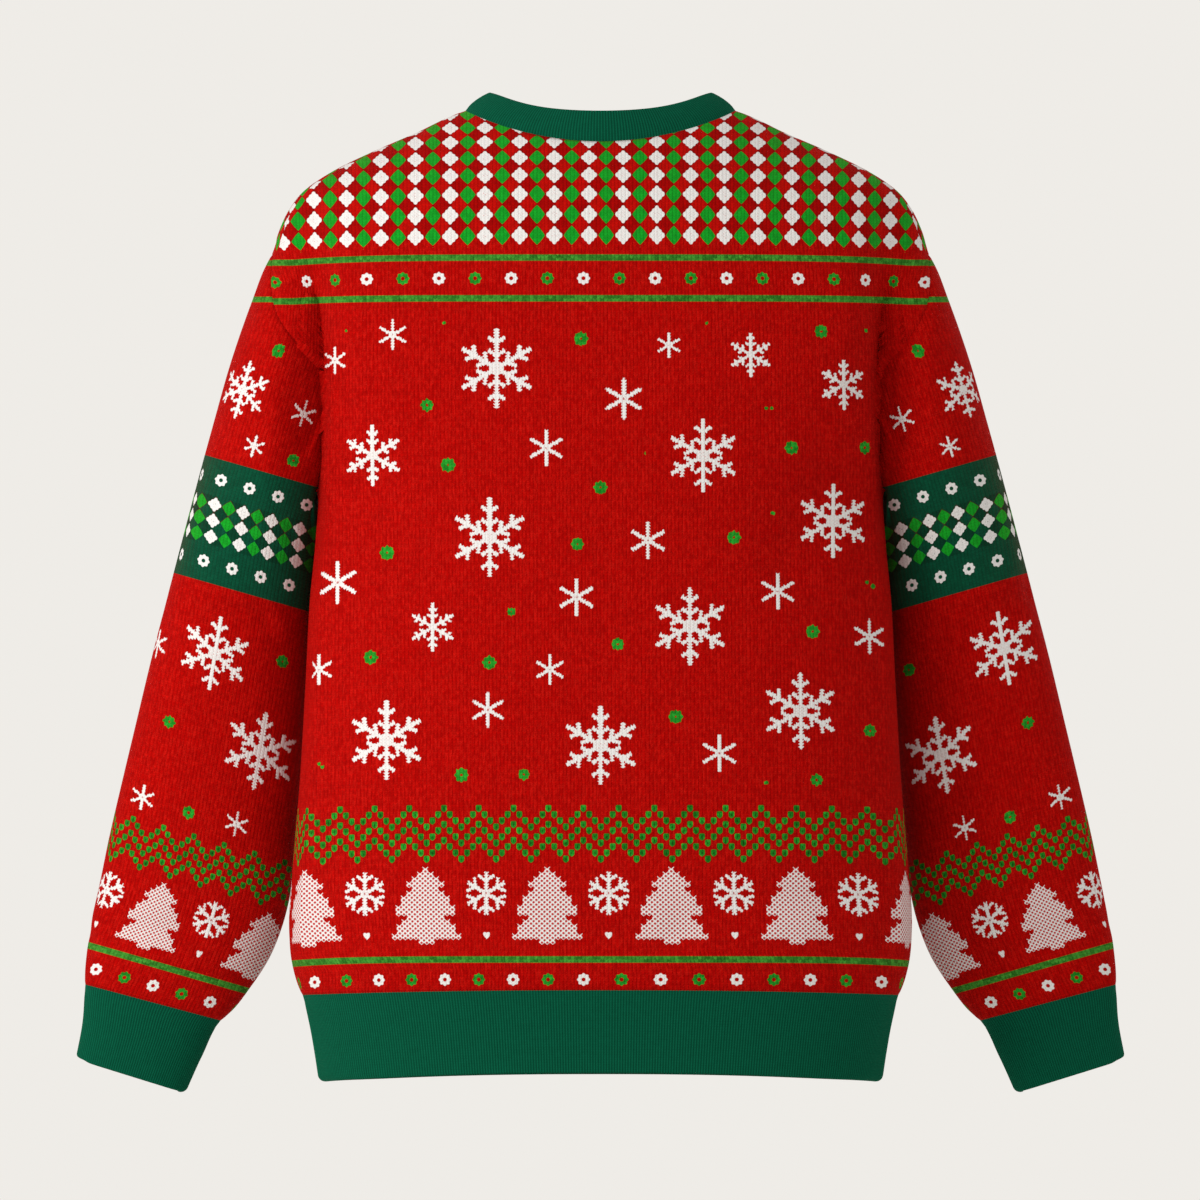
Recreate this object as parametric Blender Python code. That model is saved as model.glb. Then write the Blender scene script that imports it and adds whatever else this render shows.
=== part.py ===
"""A crew-neck Christmas jumper, worn or filled out, with its arms hanging: eight pieces of knitted cloth.

Metres, +Z up. The origin lies on the wearer's shoulder line, midway between the two high shoulder points.
The wearer faces -Y, so the back panel is at +Y, and the wearer's left is at +X.
Every piece is one wall of cloth. Pieces meet along seams, a hair's breadth apart.
"""

from collections import namedtuple

import bpy
import numpy as np

MM = 0.001

# Cloth.
KNIT_WALL = 2.6 * MM
RIB_WALL = 2.0 * MM
RIB_HEIGHT = 0.9 * MM
RIB_PITCH = 4.25 * MM
SEAM_GAP = 0.3 * MM

# Levels of the body, measured down from the high shoulder points along its side line.
SHOULDER_TIP = 101.0
UNDERARM = 268.0

# Neckband: how far it leans in and rises at the sides, and at the back and the front.
NECKBAND_HEIGHT = 22.0
NECKBAND_SIDE_LEAN = 17.5
NECKBAND_SIDE_RISE = 12.6
NECKBAND_LEAN = (8.0, 14.0)
NECKBAND_RISE = (21.0, 17.0)
NECKBAND_BULGE = 1.2

# How a ring dips from the side line to its centre, on the back and the front: the neckline's own curve
# eases into the body's.
NECKLINE_CURVE = (1.9, 1.5)
BODY_CURVE = 2.0
NECKLINE_FADE = 6.0

# The cuff seam on the sleeve's outer line, measured down as the body is.
CUFF_SEAM = 612.5

# Rows and columns of the pieces.
PANEL_COLUMNS = 20
ARMHOLE_ROWS = 11
BODY_ROWS = (620, 613, 603, 589, 569, 542, 508, 470, 430, 390, 352, 318, 290)
SHOULDER_ROWS = (84, 69, 56, 44, 33, 23, 14, 6, 0)
HEM_ROWS = (620, 648, 680)
SLEEVE_ROWS = (
    (SHOULDER_TIP, 111, 126, 147, 172, 199, 227, 256, 286, 317, 349)
    + (383, 419, 456, 492, 525, 552, 574, 591, 603, CUFF_SEAM)
)
CUFF_ROWS = (CUFF_SEAM, 637, 663.6)
INSIDE_COLUMNS = {"hem_rib": 60, "neckband": 44, "cuff": 32}

# The body, all round, in millimetres. Each row is one ring: how far down it crosses the side line, its
# half width there, how far out and how far down it is at the centre back and the centre front, and how
# square its corners are (2 is an ellipse). Rows past the hem seam shape the hem rib.
Ring = namedtuple("Ring", "down half_width back_out back_down front_out front_down squareness")
BODY = (
    Ring(0, 94.5, 60, 21.5, 71, 84, 2.0),
    Ring(7, 111, 66, 26.5, 76, 89, 2.0),
    Ring(14, 125, 70.5, 32, 80, 94, 2.0),
    Ring(28, 157, 78, 42.5, 87, 103, 2.02),
    Ring(42, 186, 84, 53.5, 93, 112, 2.05),
    Ring(56, 207, 88.5, 65, 98, 121, 2.08),
    Ring(70, 218.5, 92, 77, 102, 130, 2.12),
    Ring(84, 225, 95, 89.5, 106, 139, 2.16),
    Ring(101, 230, 98.5, 105, 110, 150, 2.2),
    Ring(118, 237, 101.5, 121, 113.5, 161, 2.22),
    Ring(136, 242, 104, 138.5, 117, 173, 2.24),
    Ring(154, 240.5, 106, 156, 120, 185.5, 2.26),
    Ring(171, 234, 107.5, 172.5, 122, 198, 2.28),
    Ring(188, 225, 109, 189, 123.5, 211, 2.3),
    Ring(206, 216.5, 110, 206.7, 124.5, 224.5, 2.3),
    Ring(226, 209, 110.5, 226.4, 125, 239.5, 2.3),
    Ring(248, 202, 110.5, 248, 125.3, 257, 2.3),
    Ring(268, 198.5, 110, 267, 125, 273, 2.3),
    Ring(300, 199.5, 108.5, 298, 124, 300, 2.3),
    Ring(343, 203.5, 106.5, 340, 122, 341, 2.32),
    Ring(400, 206.5, 105, 397, 119.5, 397, 2.34),
    Ring(469, 210.5, 106.5, 466, 117, 466, 2.36),
    Ring(530, 215.5, 109.5, 527, 115.5, 527, 2.38),
    Ring(574, 218, 111, 571, 114.5, 571, 2.4),
    Ring(597, 216, 109.5, 594, 112.5, 594, 2.4),
    Ring(612, 212, 106.5, 609, 109.5, 609, 2.4),
    Ring(620, 208.7, 104, 616.7, 107, 617, 2.4),
    Ring(638, 204, 101, 634, 104, 634.5, 2.4),
    Ring(660, 200, 99, 655, 102, 655.5, 2.4),
    Ring(680, 197, 98, 673, 101, 674, 2.4),
)

# The armhole seam, by its turn in degrees from the shoulder tip (0) to the underarm (180): how far it
# lies from the side line on the back and on the front, in millimetres.
Turn = namedtuple("Turn", "turn back front")
ARMHOLE = (
    Turn(0, 0, 0),
    Turn(15, 11.5, 12),
    Turn(30, 22, 24),
    Turn(60, 43.5, 46.5),
    Turn(90, 61, 64),
    Turn(105, 55.5, 65),
    Turn(120, 47, 60),
    Turn(150, 26.5, 36),
    Turn(165, 14, 19),
    Turn(180, 0, 0),
)

# The left sleeve and cuff, in millimetres. Each row is one section, by its outermost and innermost
# points seen from the back, its centre's place towards the back, half its depth, how far its back is
# turned outwards (its front turns inwards as much, round the body), and its squareness.
Section = namedtuple("Section", "outer_down outer_x inner_x inner_down centre_y half_depth turned squareness")
SLEEVE = (
    Section(101, 230, 198.5, 268, 0, 62, 0, 2.0),
    Section(111, 235.2, 205.5, 271, -2, 62.5, 1, 2.0),
    Section(133, 243.3, 207, 281, -12, 64.5, 5, 2.02),
    Section(175, 257.3, 203.5, 296, -25, 65.5, 9, 2.05),
    Section(217, 269.2, 201, 311, -35, 64, 10, 2.08),
    Section(259, 280.5, 199.5, 330, -44, 61.5, 11, 2.1),
    Section(301, 291.6, 199.5, 351, -51, 58.5, 11, 2.12),
    Section(343, 302.8, 200.5, 378, -57, 55, 10, 2.14),
    Section(385, 314, 203, 412, -61, 51, 8, 2.15),
    Section(427, 324.3, 206.5, 455, -64, 46.5, 6, 2.15),
    Section(469, 334.5, 211, 498, -66, 42.5, 4, 2.15),
    Section(511, 344.3, 216, 543, -68, 39, 2, 2.15),
    Section(546, 351.5, 224, 575, -69, 36.5, 1, 2.15),
    Section(567, 356.3, 232, 594, -69.5, 35, 0, 2.15),
    Section(589, 359.5, 245, 614, -70, 31.5, 0, 2.15),
    Section(603, 360.8, 256.5, 629, -70.5, 27.5, 0, 2.15),
    Section(612.5, 361, 266, 638, -71, 24, 0, 2.15),
    Section(637, 362.2, 279, 662, -71.5, 21.5, 0, 2.15),
    Section(663.6, 367, 290.5, 687.4, -72, 20.5, 0, 2.15),
)
SLEEVE_CAP_END = 225.0

# The largest folds, in millimetres, as soft troughs pressed into the cloth (a negative depth is a soft
# ridge). On the body a fold runs between two points given by their place across (x) and down. On a
# sleeve it runs between two points given by their turn round it and their level down its outer line.
Fold = namedtuple("Fold", "x0 down0 x1 down1 depth width")
BACK_FOLDS = (
    Fold(207, 70, 190, 205, 9, 15),
    Fold(-206, 78, -191, 200, 8, 15),
    Fold(168, 262, 120, 330, 3.5, 22),
    Fold(-170, 258, -128, 322, 3, 22),
    Fold(150, 560, -40, 585, 3, 17),
    Fold(-60, 570, -185, 545, 2.5, 17),
)
FRONT_FOLDS = (
    Fold(205, 78, 186, 205, 10, 16),
    Fold(-206, 74, -187, 208, 9, 16),
    Fold(165, 265, 95, 345, 4.5, 24),
    Fold(-160, 262, -104, 352, 4, 24),
    Fold(60, 565, -130, 582, 3, 17),
    Fold(190, 540, 95, 572, 2.5, 18),
)
# A fold fades out over this share of its length past each end, and near a panel's side over this depth.
FOLD_FADE = 0.18
FOLD_SIDE_FADE = 25.0
SleeveFold = namedtuple("SleeveFold", "turn0 level0 turn1 level1 depth width")
LEFT_SLEEVE_FOLDS = (
    SleeveFold(128, 215, 62, 292, 5, 15),
    SleeveFold(-128, 215, -66, 285, 5, 15),
    SleeveFold(118, 330, 30, 362, 3.5, 14),
    SleeveFold(-20, 356, -112, 330, 4.5, 14),
    SleeveFold(-48, 404, -125, 386, 3.5, 13),
    SleeveFold(92, 560, 12, 582, 3, 11),
    SleeveFold(-18, 566, -100, 576, 3, 11),
)
RIGHT_SLEEVE_FOLDS = (
    SleeveFold(126, 222, 58, 300, 5, 15),
    SleeveFold(-130, 212, -60, 290, 5, 15),
    SleeveFold(112, 348, 24, 336, 3.5, 14),
    SleeveFold(-24, 340, -116, 352, 4.5, 14),
    SleeveFold(-40, 392, -122, 408, 3.5, 13),
    SleeveFold(80, 572, 6, 560, 3, 11),
    SleeveFold(-26, 580, -108, 562, 3, 11),
)

RED_KNIT = (0.46, 0.006, 0.004)
GREEN_RIB = (0.006, 0.075, 0.035)
KNIT_ROUGHNESS = 0.92

# Faces that meet at more than this many degrees keep a sharp edge between them.
SHARP_ANGLE = 50


def column(table, name):
    """One named column of a table, as an array."""
    return np.array([getattr(row, name) for row in table], dtype=float)


def through(table, key, name, at):
    """The value of a column at a place between the rows, on a smooth curve through all of them."""
    xs = column(table, key)
    ys = column(table, name)
    slopes = np.gradient(ys, xs)
    i = np.clip(np.searchsorted(xs, at, side="right") - 1, 0, len(xs) - 2)
    step = xs[i + 1] - xs[i]
    t = (at - xs[i]) / step
    start = ys[i] * (1 + 2 * t) * (1 - t) ** 2 + slopes[i] * step * t * (1 - t) ** 2
    end = ys[i + 1] * t * t * (3 - 2 * t) + slopes[i + 1] * step * t * t * (t - 1)
    return start + end


def rounded(value, squareness):
    """A cosine or sine, bent from an ellipse's towards a rounded box's."""
    return np.sign(value) * np.abs(value) ** (2.0 / squareness)


def unit(vectors):
    """Vectors brought to length one."""
    return vectors / np.maximum(np.linalg.norm(vectors, axis=-1, keepdims=True), 1e-12)


def fold_depth(x, y, x0, y0, x1, y1, depth, width):
    """How deep a fold presses the cloth at (x, y): a soft trough along a line, fading at its ends."""
    run = np.array([x1 - x0, y1 - y0])
    length = np.hypot(*run)
    along = ((x - x0) * run[0] + (y - y0) * run[1]) / length**2
    across = ((x - x0) * run[1] - (y - y0) * run[0]) / length
    ends = np.clip(np.minimum(along, 1 - along) / FOLD_FADE + 1, 0, 1)
    return depth * np.exp(-((across / width) ** 2)) * ends**2 * (3 - 2 * ends)


# The body.


def body_point(down, angle):
    """A point of the body, in metres, on the ring at a level and at an angle round from the wearer's left."""
    cos, sin = np.cos(angle), np.sin(angle)
    at_back = sin >= 0
    squareness = through(BODY, "down", "squareness", down)
    half_width = through(BODY, "down", "half_width", down)
    out = np.where(at_back, *(through(BODY, "down", name, down) for name in ("back_out", "front_out")))
    centre = np.where(at_back, *(through(BODY, "down", name, down) for name in ("back_down", "front_down")))
    curve = BODY_CURVE + (np.where(at_back, *NECKLINE_CURVE) - BODY_CURVE) * np.exp(-down / NECKLINE_FADE)
    x = half_width * rounded(cos, squareness)
    y = out * rounded(sin, squareness)
    level = down + (centre - down) * np.abs(sin) ** curve
    outward_x = np.abs(x / half_width) ** (squareness - 1) / half_width * np.sign(cos)
    outward_y = np.abs(y / out) ** (squareness - 1) / out * np.sign(sin)
    size = np.hypot(outward_x, outward_y)
    back = sum(fold_depth(x, level, *fold) for fold in BACK_FOLDS)
    front = sum(fold_depth(x, level, *fold) for fold in FRONT_FOLDS)
    pressed = np.where(at_back, back, front) * np.clip(np.abs(y) / FOLD_SIDE_FADE, 0, 1)
    x = x - pressed * outward_x / size
    y = y - pressed * outward_y / size
    return np.stack([x, y, -level], axis=-1) * MM


def armhole_level(turn):
    """The level of the armhole seam at a turn from the shoulder tip to the underarm, in degrees."""
    return SHOULDER_TIP + (UNDERARM - SHOULDER_TIP) * (1 - np.cos(np.radians(turn))) / 2


def armhole_angle(turn, panel):
    """The angle round the body at which a panel ends, at the armhole."""
    down = armhole_level(turn)
    reach = through(ARMHOLE, "turn", panel, turn)
    out = through(BODY, "down", panel + "_out", down)
    squareness = through(BODY, "down", "squareness", down)
    return np.arcsin(np.clip(reach / out, 0, 1) ** (squareness / 2))


def armhole_turns():
    """The turns at which the armhole seam has its points, from the shoulder tip to the underarm."""
    return np.linspace(0, 180, ARMHOLE_ROWS + 1)


def panel_grid(panel):
    """Rows of points from the hem seam to the neckline, each from one side of the wearer to the other."""
    rows = [(down, 0.0) for down in BODY_ROWS]
    rows += [(armhole_level(t), armhole_angle(t, panel)) for t in armhole_turns()[::-1]]
    rows += [(down, 0.0) for down in SHOULDER_ROWS]
    grid = []
    for down, edge in rows:
        angles = np.linspace(edge, np.pi - edge, PANEL_COLUMNS + 1)
        grid.append(body_point(down, angles if panel == "back" else -angles))
    return np.array(grid)


# The sleeves.


def section_point(level, turn):
    """A point of the left sleeve or cuff, by the level of its outermost point and the turn round it."""
    cos, sin = np.cos(turn), np.sin(turn)
    at = {name: through(SLEEVE, "outer_down", name, level) for name in Section._fields[1:]}
    squareness = at["squareness"]
    across_x, across_z = (at["outer_x"] - at["inner_x"]) / 2, (at["inner_down"] - level) / 2
    x = (at["outer_x"] + at["inner_x"]) / 2 + across_x * rounded(cos, squareness) + at["turned"] * sin
    z = -(level + at["inner_down"]) / 2 + across_z * rounded(cos, squareness)
    y = at["centre_y"] + at["half_depth"] * rounded(sin, squareness)
    return np.stack([x, y, z], axis=-1) * MM


def sleeve_point(level, turn, side):
    """A point of a sleeve: its section, eased from the armhole seam's shape at the top, with its folds."""
    folds = LEFT_SLEEVE_FOLDS if side > 0 else RIGHT_SLEEVE_FOLDS
    point = section_point(level, turn)
    centre = (section_point(level, 0.0) + section_point(level, np.pi)) / 2
    t = np.clip((level - SHOULDER_TIP) / (SLEEVE_CAP_END - SHOULDER_TIP), 0, 1)
    cap = 1 - t * t * (3 - 2 * t)
    point = point + cap * (armhole_point(turn, side) - section_point(SHOULDER_TIP, turn))
    radius = np.linalg.norm(section_point(level, np.pi / 2) - centre) / MM
    pressed = sum(
        fold_depth(turn * radius, level, np.radians(f[0]) * radius, f[1], np.radians(f[2]) * radius, *f[3:])
        for f in folds
    )
    return point - unit(point - centre) * pressed * (1 - cap) * MM


def armhole_point(turn, side):
    """A point of the armhole seam of either side, shown on the left, by its turn round the sleeve."""
    degrees = np.degrees(abs(turn))
    panel = "back" if turn >= 0 else "front"
    angle = armhole_angle(degrees, panel)
    angle = angle if side > 0 else np.pi - angle
    point = body_point(armhole_level(degrees), angle if panel == "back" else -angle)
    return point * (side, 1, 1)


def sleeve_turns():
    """The turns of a sleeve's columns, all round, starting at its outer line and going by the back."""
    turns = np.radians(armhole_turns())
    return np.concatenate([turns, -turns[-2:0:-1]])


def sleeve_grid(side, levels):
    """Rings of points down a sleeve, from the armhole seam on."""
    rows = [[sleeve_point(level, turn, side) for turn in sleeve_turns()] for level in levels]
    return np.array(rows) * (side, 1, 1)


# Walls of cloth.


def split(points, face):
    """A four-sided face as two triangles, cut along its shorter diagonal."""
    a, b, c, d = face
    if np.linalg.norm(points[a] - points[c]) <= np.linalg.norm(points[b] - points[d]):
        return [(a, b, c), (a, c, d)]
    return [(a, b, d), (b, c, d)]


def grid_faces(rows, columns, closed):
    """The four-sided faces of a grid of points, facing the side from which its columns run to the right."""
    faces = []
    for i in range(rows - 1):
        low, high = i * columns, (i + 1) * columns
        for j in range(columns if closed else columns - 1):
            k = (j + 1) % columns
            faces.append((low + j, low + k, high + k, high + j))
    return faces


def grid_triangles(grid, closed):
    """A grid's faces as triangles."""
    points = grid.reshape(-1, 3)
    faces = grid_faces(grid.shape[0], grid.shape[1], closed)
    return [triangle for face in faces for triangle in split(points, face)]


def turned_over(faces, start=0):
    """Faces that look the other way, on points that start further on in the list."""
    return [tuple(start + k for k in face[::-1]) for face in faces]


def face_normals(grid, closed):
    """The sum of the faces' normals at each point of a grid."""
    total = np.zeros_like(grid)
    flat = grid.reshape(-1, 3)
    spread = total.reshape(-1, 3)
    for face in grid_faces(grid.shape[0], grid.shape[1], closed):
        a, b, c, d = (flat[k] for k in face)
        spread[list(face)] += np.cross(c - a, d - b)
    return total


def shared_normals(grids):
    """Each grid's unit normals, where points that lie on two grids, on a seam, share one normal."""
    sums = {}
    parts = {name: unit(face_normals(grid, closed)) for name, (grid, closed) in grids.items()}
    for name, (grid, _) in grids.items():
        for point, normal in zip(grid.reshape(-1, 3), parts[name].reshape(-1, 3)):
            key = tuple(np.round(point, 6))
            sums[key] = sums.get(key, 0) + normal
    return {
        name: unit(np.array([sums[tuple(np.round(p, 6))] for p in grid.reshape(-1, 3)])).reshape(grid.shape)
        for name, (grid, _) in grids.items()
    }


def drawn_in(points, normals):
    """A closed line of a piece's edge, drawn half a seam gap into the piece, which lies on its left."""
    edges = unit(np.roll(points, -1, axis=0) - points)
    after = unit(np.cross(normals, edges))
    before = unit(np.cross(normals, np.roll(edges, 1, axis=0)))
    both = after + before
    share = 1 + np.sum(after * before, axis=-1, keepdims=True)
    return both / np.maximum(share, 0.3) * (SEAM_GAP / 2)


def edge_shift(grid, normals, closed):
    """How far each edge point of a grid moves to leave its half of the seam gap."""
    shift = np.zeros((grid.shape[0] * grid.shape[1], 3))
    for line in border_lines(grid.shape[0], grid.shape[1], closed):
        shift[line] = drawn_in(grid.reshape(-1, 3)[line], normals.reshape(-1, 3)[line])
    return shift.reshape(grid.shape)


def zipped(first, second):
    """Triangles between two lines of points that run side by side, whatever their numbers."""
    faces = []
    i = j = 0
    while i < len(first) - 1 or j < len(second) - 1:
        ahead = (i + 1) * (len(second) - 1) <= (j + 1) * (len(first) - 1)
        if ahead and i < len(first) - 1:
            faces.append((first[i], first[i + 1], second[j]))
            i += 1
        else:
            faces.append((first[i], second[j + 1], second[j]))
            j += 1
    return faces


def add_piece(name, points, faces, material):
    """Makes one piece of cloth from its points and faces."""
    mesh = bpy.data.meshes.new(name)
    mesh.from_pydata([tuple(p) for p in points], [], faces)
    mesh.validate()
    mesh.shade_smooth()
    mesh.set_sharp_from_angle(angle=np.radians(SHARP_ANGLE))
    mesh.materials.append(material)
    piece = bpy.data.objects.new(name, mesh)
    bpy.context.scene.collection.objects.link(piece)
    piece.parent = bpy.data.objects["shoulder_line"]


def border_lines(rows, columns, closed):
    """The edge lines of a grid, as point numbers, each with the piece on its left."""
    if closed:
        last = (rows - 1) * columns
        return [list(range(columns)), list(range(last + columns - 1, last - 1, -1))]
    line = list(range(columns))
    line += [i * columns + columns - 1 for i in range(1, rows)]
    line += [(rows - 1) * columns + j for j in range(columns - 2, -1, -1)]
    line += [i * columns for i in range(rows - 2, 0, -1)]
    return [line]


def add_panel(name, grid, normals, closed, material):
    """A wall from a grid of its outer points: the plain inside lies one thickness behind them."""
    outer = grid + edge_shift(grid, normals, closed)
    inner = outer - normals * KNIT_WALL
    points = np.concatenate([outer.reshape(-1, 3), inner.reshape(-1, 3)])
    size = len(points) // 2
    faces = grid_triangles(outer, closed)
    faces += turned_over(faces, size)
    for line in border_lines(grid.shape[0], grid.shape[1], closed):
        for a, b in zip(line, line[1:] + line[:1]):
            faces += split(points, (b, a, size + a, size + b))
    add_piece(name, points, faces, material)


def even_places(line, count):
    """Places at even lengths round each half of a closed line, as an index and a share of its next run.

    Returns them with the number of the place at which the second half starts.
    """
    runs = np.linalg.norm(np.roll(line, -1, axis=0) - line, axis=1)
    ends = np.concatenate([[0], np.cumsum(runs)])
    half = ends[len(line) // 2]
    first = 2 * int(round(count / 2 * half / ends[-1]))
    rest = count - first
    in_first = half * np.arange(first) / first
    in_rest = half + (ends[-1] - half) * np.arange(rest) / rest
    at = np.concatenate([in_first, in_rest])
    i = np.clip(np.searchsorted(ends, at + 1e-9, side="right") - 1, 0, len(line) - 1)
    return (i, ((at - ends[i]) / runs[i])[:, None]), first


def along(line, places):
    """The values at some places round a closed line, on its straight runs."""
    i, t = places
    return line[i] * (1 - t) + line[(i + 1) % len(line)] * t


def add_rib_band(name, rings, normals, inside, material):
    """A ribbed tube of cloth: ribs raised along its outer points, over a plain inside."""
    length = np.linalg.norm(np.roll(rings[0], -1, axis=0) - rings[0], axis=1).sum()
    columns = 2 * int(round(length / RIB_PITCH))
    rows = len(rings)
    drawn = rings + edge_shift(rings, normals, True)
    walls = []
    for count in (columns, inside):
        places, half = even_places(rings[0], count)
        wall = np.array([along(ring, places) for ring in drawn])
        walls.append((wall, unit(np.array([along(row, places) for row in normals])), half))
    raised = RIB_HEIGHT * (np.arange(columns) % 2)[None, :, None]
    outer = walls[0][0] + walls[0][1] * raised
    inner = walls[1][0] - walls[1][1] * RIB_WALL
    size = rows * columns
    faces = grid_triangles(outer, True)
    faces += turned_over(grid_triangles(inner, True), size)
    halves = walls[0][2], walls[1][2]
    faces += turned_over(rib_ends(range(columns), range(size, size + inside), *halves))
    last_outside = range(size - columns, size)
    last_inside = range(size + (rows - 1) * inside, size + rows * inside)
    faces += rib_ends(last_outside, last_inside, *halves)
    points = np.concatenate([outer.reshape(-1, 3), inner.reshape(-1, 3)])
    add_piece(name, points, faces, material)


def rib_ends(outside, inside, outside_half, inside_half):
    """The triangles that close a ribbed wall's edge: each rib's end, then the plain wall behind the ribs."""
    outside, inside = list(outside), list(inside)
    faces = [(outside[k - 2], outside[k - 1], outside[k]) for k in range(0, len(outside), 2)]
    faces += zipped(outside[: outside_half + 1 : 2], inside[: inside_half + 1])
    faces += zipped(outside[outside_half::2] + outside[:1], inside[inside_half:] + inside[:1])
    return faces


def make_material(name, colour):
    """A matt knitted cloth of one colour."""
    material = bpy.data.materials.new(name)
    material.use_nodes = True
    shader = material.node_tree.nodes["Principled BSDF"]
    shader.inputs["Base Color"].default_value = (*colour, 1.0)
    shader.inputs["Roughness"].default_value = KNIT_ROUGHNESS
    shader.inputs["Metallic"].default_value = 0.0
    return material


def body_ring(down):
    """The body's points all round at one level, where its panels have theirs."""
    angles = np.linspace(0, np.pi, PANEL_COLUMNS + 1)
    return body_point(down, np.concatenate([angles[:-1], -angles[:0:-1]]))


def neckband_rings(neckline):
    """The neckband's rows: the neckline, then up and in towards the neck."""
    around = unit(neckline * (1, 1, 0))
    side = around[:, :1] ** 2
    at_back = neckline[:, 1:2] > 0
    lean_in = NECKBAND_SIDE_LEAN * side + np.where(at_back, *NECKBAND_LEAN) * (1 - side)
    rise = NECKBAND_SIDE_RISE * side + np.where(at_back, *NECKBAND_RISE) * (1 - side)
    upward = np.array([0, 0, 1])
    direction = unit(upward * rise - around * lean_in)
    bulge = unit(around * rise + upward * lean_in) * NECKBAND_BULGE * MM
    middle = neckline + direction * NECKBAND_HEIGHT / 2 * MM + bulge
    return [neckline, middle, neckline + direction * NECKBAND_HEIGHT * MM]


def flattened(normals, axis):
    """Normals turned square to an axis, so that a seam's edge faces lie flat across it."""
    axis = unit(np.asarray(axis, dtype=float))
    return unit(normals - np.sum(normals * axis, axis=-1, keepdims=True) * axis)


def sleeve_axis(side):
    """The direction down a sleeve at its cuff seam."""
    across = section_point(CUFF_SEAM, 0.0) - section_point(CUFF_SEAM, np.pi)
    return np.array([-across[2] * side, 0, across[0]])


def outline_grids():
    """The outer points of every piece, in rows, and whether the rows run all round."""
    back = panel_grid("back")
    front = panel_grid("front")[:, ::-1]
    neckline = np.concatenate([back[-1][:-1], front[-1][:-1]])
    grids = {
        "back": (back, False),
        "front": (front, False),
        "hem_rib": (np.array([body_ring(down)[::-1] for down in HEM_ROWS]), True),
        "neckband": (np.array(neckband_rings(neckline)), True),
    }
    for end, side in (("left", 1), ("right", -1)):
        for piece, levels in (("sleeve_", SLEEVE_ROWS), ("cuff_", CUFF_ROWS)):
            grids[piece + end] = (sleeve_grid(side, levels)[:, ::-side], True)
    return grids


def build():
    """Makes the eight pieces."""
    for thing in list(bpy.data.objects):
        bpy.data.objects.remove(thing, do_unlink=True)
    bpy.context.scene.collection.objects.link(bpy.data.objects.new("shoulder_line", None))

    grids = outline_grids()
    normals = shared_normals(grids)
    for name in ("back", "front", "hem_rib"):
        normals[name][0] = flattened(normals[name][0], (0, 0, 1))
    for end, side in (("left", 1), ("right", -1)):
        axis = sleeve_axis(side)
        normals["sleeve_" + end][-1] = flattened(normals["sleeve_" + end][-1], axis)
        normals["cuff_" + end][0] = flattened(normals["cuff_" + end][0], axis)

    for name, (grid, closed) in grids.items():
        inside = INSIDE_COLUMNS.get(name.split("_left")[0].split("_right")[0])
        if inside:
            add_rib_band(name, grid, normals[name], inside, make_material(name + "_rib", GREEN_RIB))
        else:
            add_panel(name, grid, normals[name], closed, make_material(name + "_knit", RED_KNIT))


build()
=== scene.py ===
"""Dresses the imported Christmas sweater: fine cloth, its knitted pattern, the light and the camera."""

from collections import namedtuple
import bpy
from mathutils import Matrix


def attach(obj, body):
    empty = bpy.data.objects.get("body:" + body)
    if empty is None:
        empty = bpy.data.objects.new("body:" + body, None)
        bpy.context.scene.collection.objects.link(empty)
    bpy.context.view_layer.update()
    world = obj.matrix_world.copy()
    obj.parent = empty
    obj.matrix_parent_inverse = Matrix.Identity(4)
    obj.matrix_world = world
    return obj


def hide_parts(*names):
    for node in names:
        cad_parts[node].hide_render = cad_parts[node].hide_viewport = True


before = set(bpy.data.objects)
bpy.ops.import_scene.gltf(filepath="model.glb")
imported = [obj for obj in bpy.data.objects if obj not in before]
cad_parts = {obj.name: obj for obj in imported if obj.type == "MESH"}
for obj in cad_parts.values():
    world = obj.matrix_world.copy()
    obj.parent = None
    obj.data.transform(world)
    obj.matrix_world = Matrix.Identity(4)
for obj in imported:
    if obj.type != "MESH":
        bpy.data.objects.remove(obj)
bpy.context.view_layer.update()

from types import SimpleNamespace

import bpy
import numpy as np

MM = 0.001

# The solids' own sizes, in millimetres, repeated from the part so that the cloth lies on them.
KNIT_WALL = 2.6
RIB_WALL = 2.0
SHOULDER_TIP = 101.0
UNDERARM = 268.0
HEM_SEAM = 620.0
HEM_END = 680.0
CUFF_SEAM = 612.5
CUFF_END = 663.6
SLEEVE_CAP_END = 225.0
NECKBAND_HEIGHT = 22.0
NECKBAND_SIDE_LEAN = 17.5
NECKBAND_SIDE_RISE = 12.6
NECKBAND_LEAN = (8.0, 14.0)
NECKBAND_RISE = (21.0, 17.0)
NECKBAND_BULGE = 1.2
NECKLINE_CURVE = (1.9, 1.5)
BODY_CURVE = 2.0
NECKLINE_FADE = 6.0
FOLD_FADE = 0.18
FOLD_SIDE_FADE = 25.0

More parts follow.
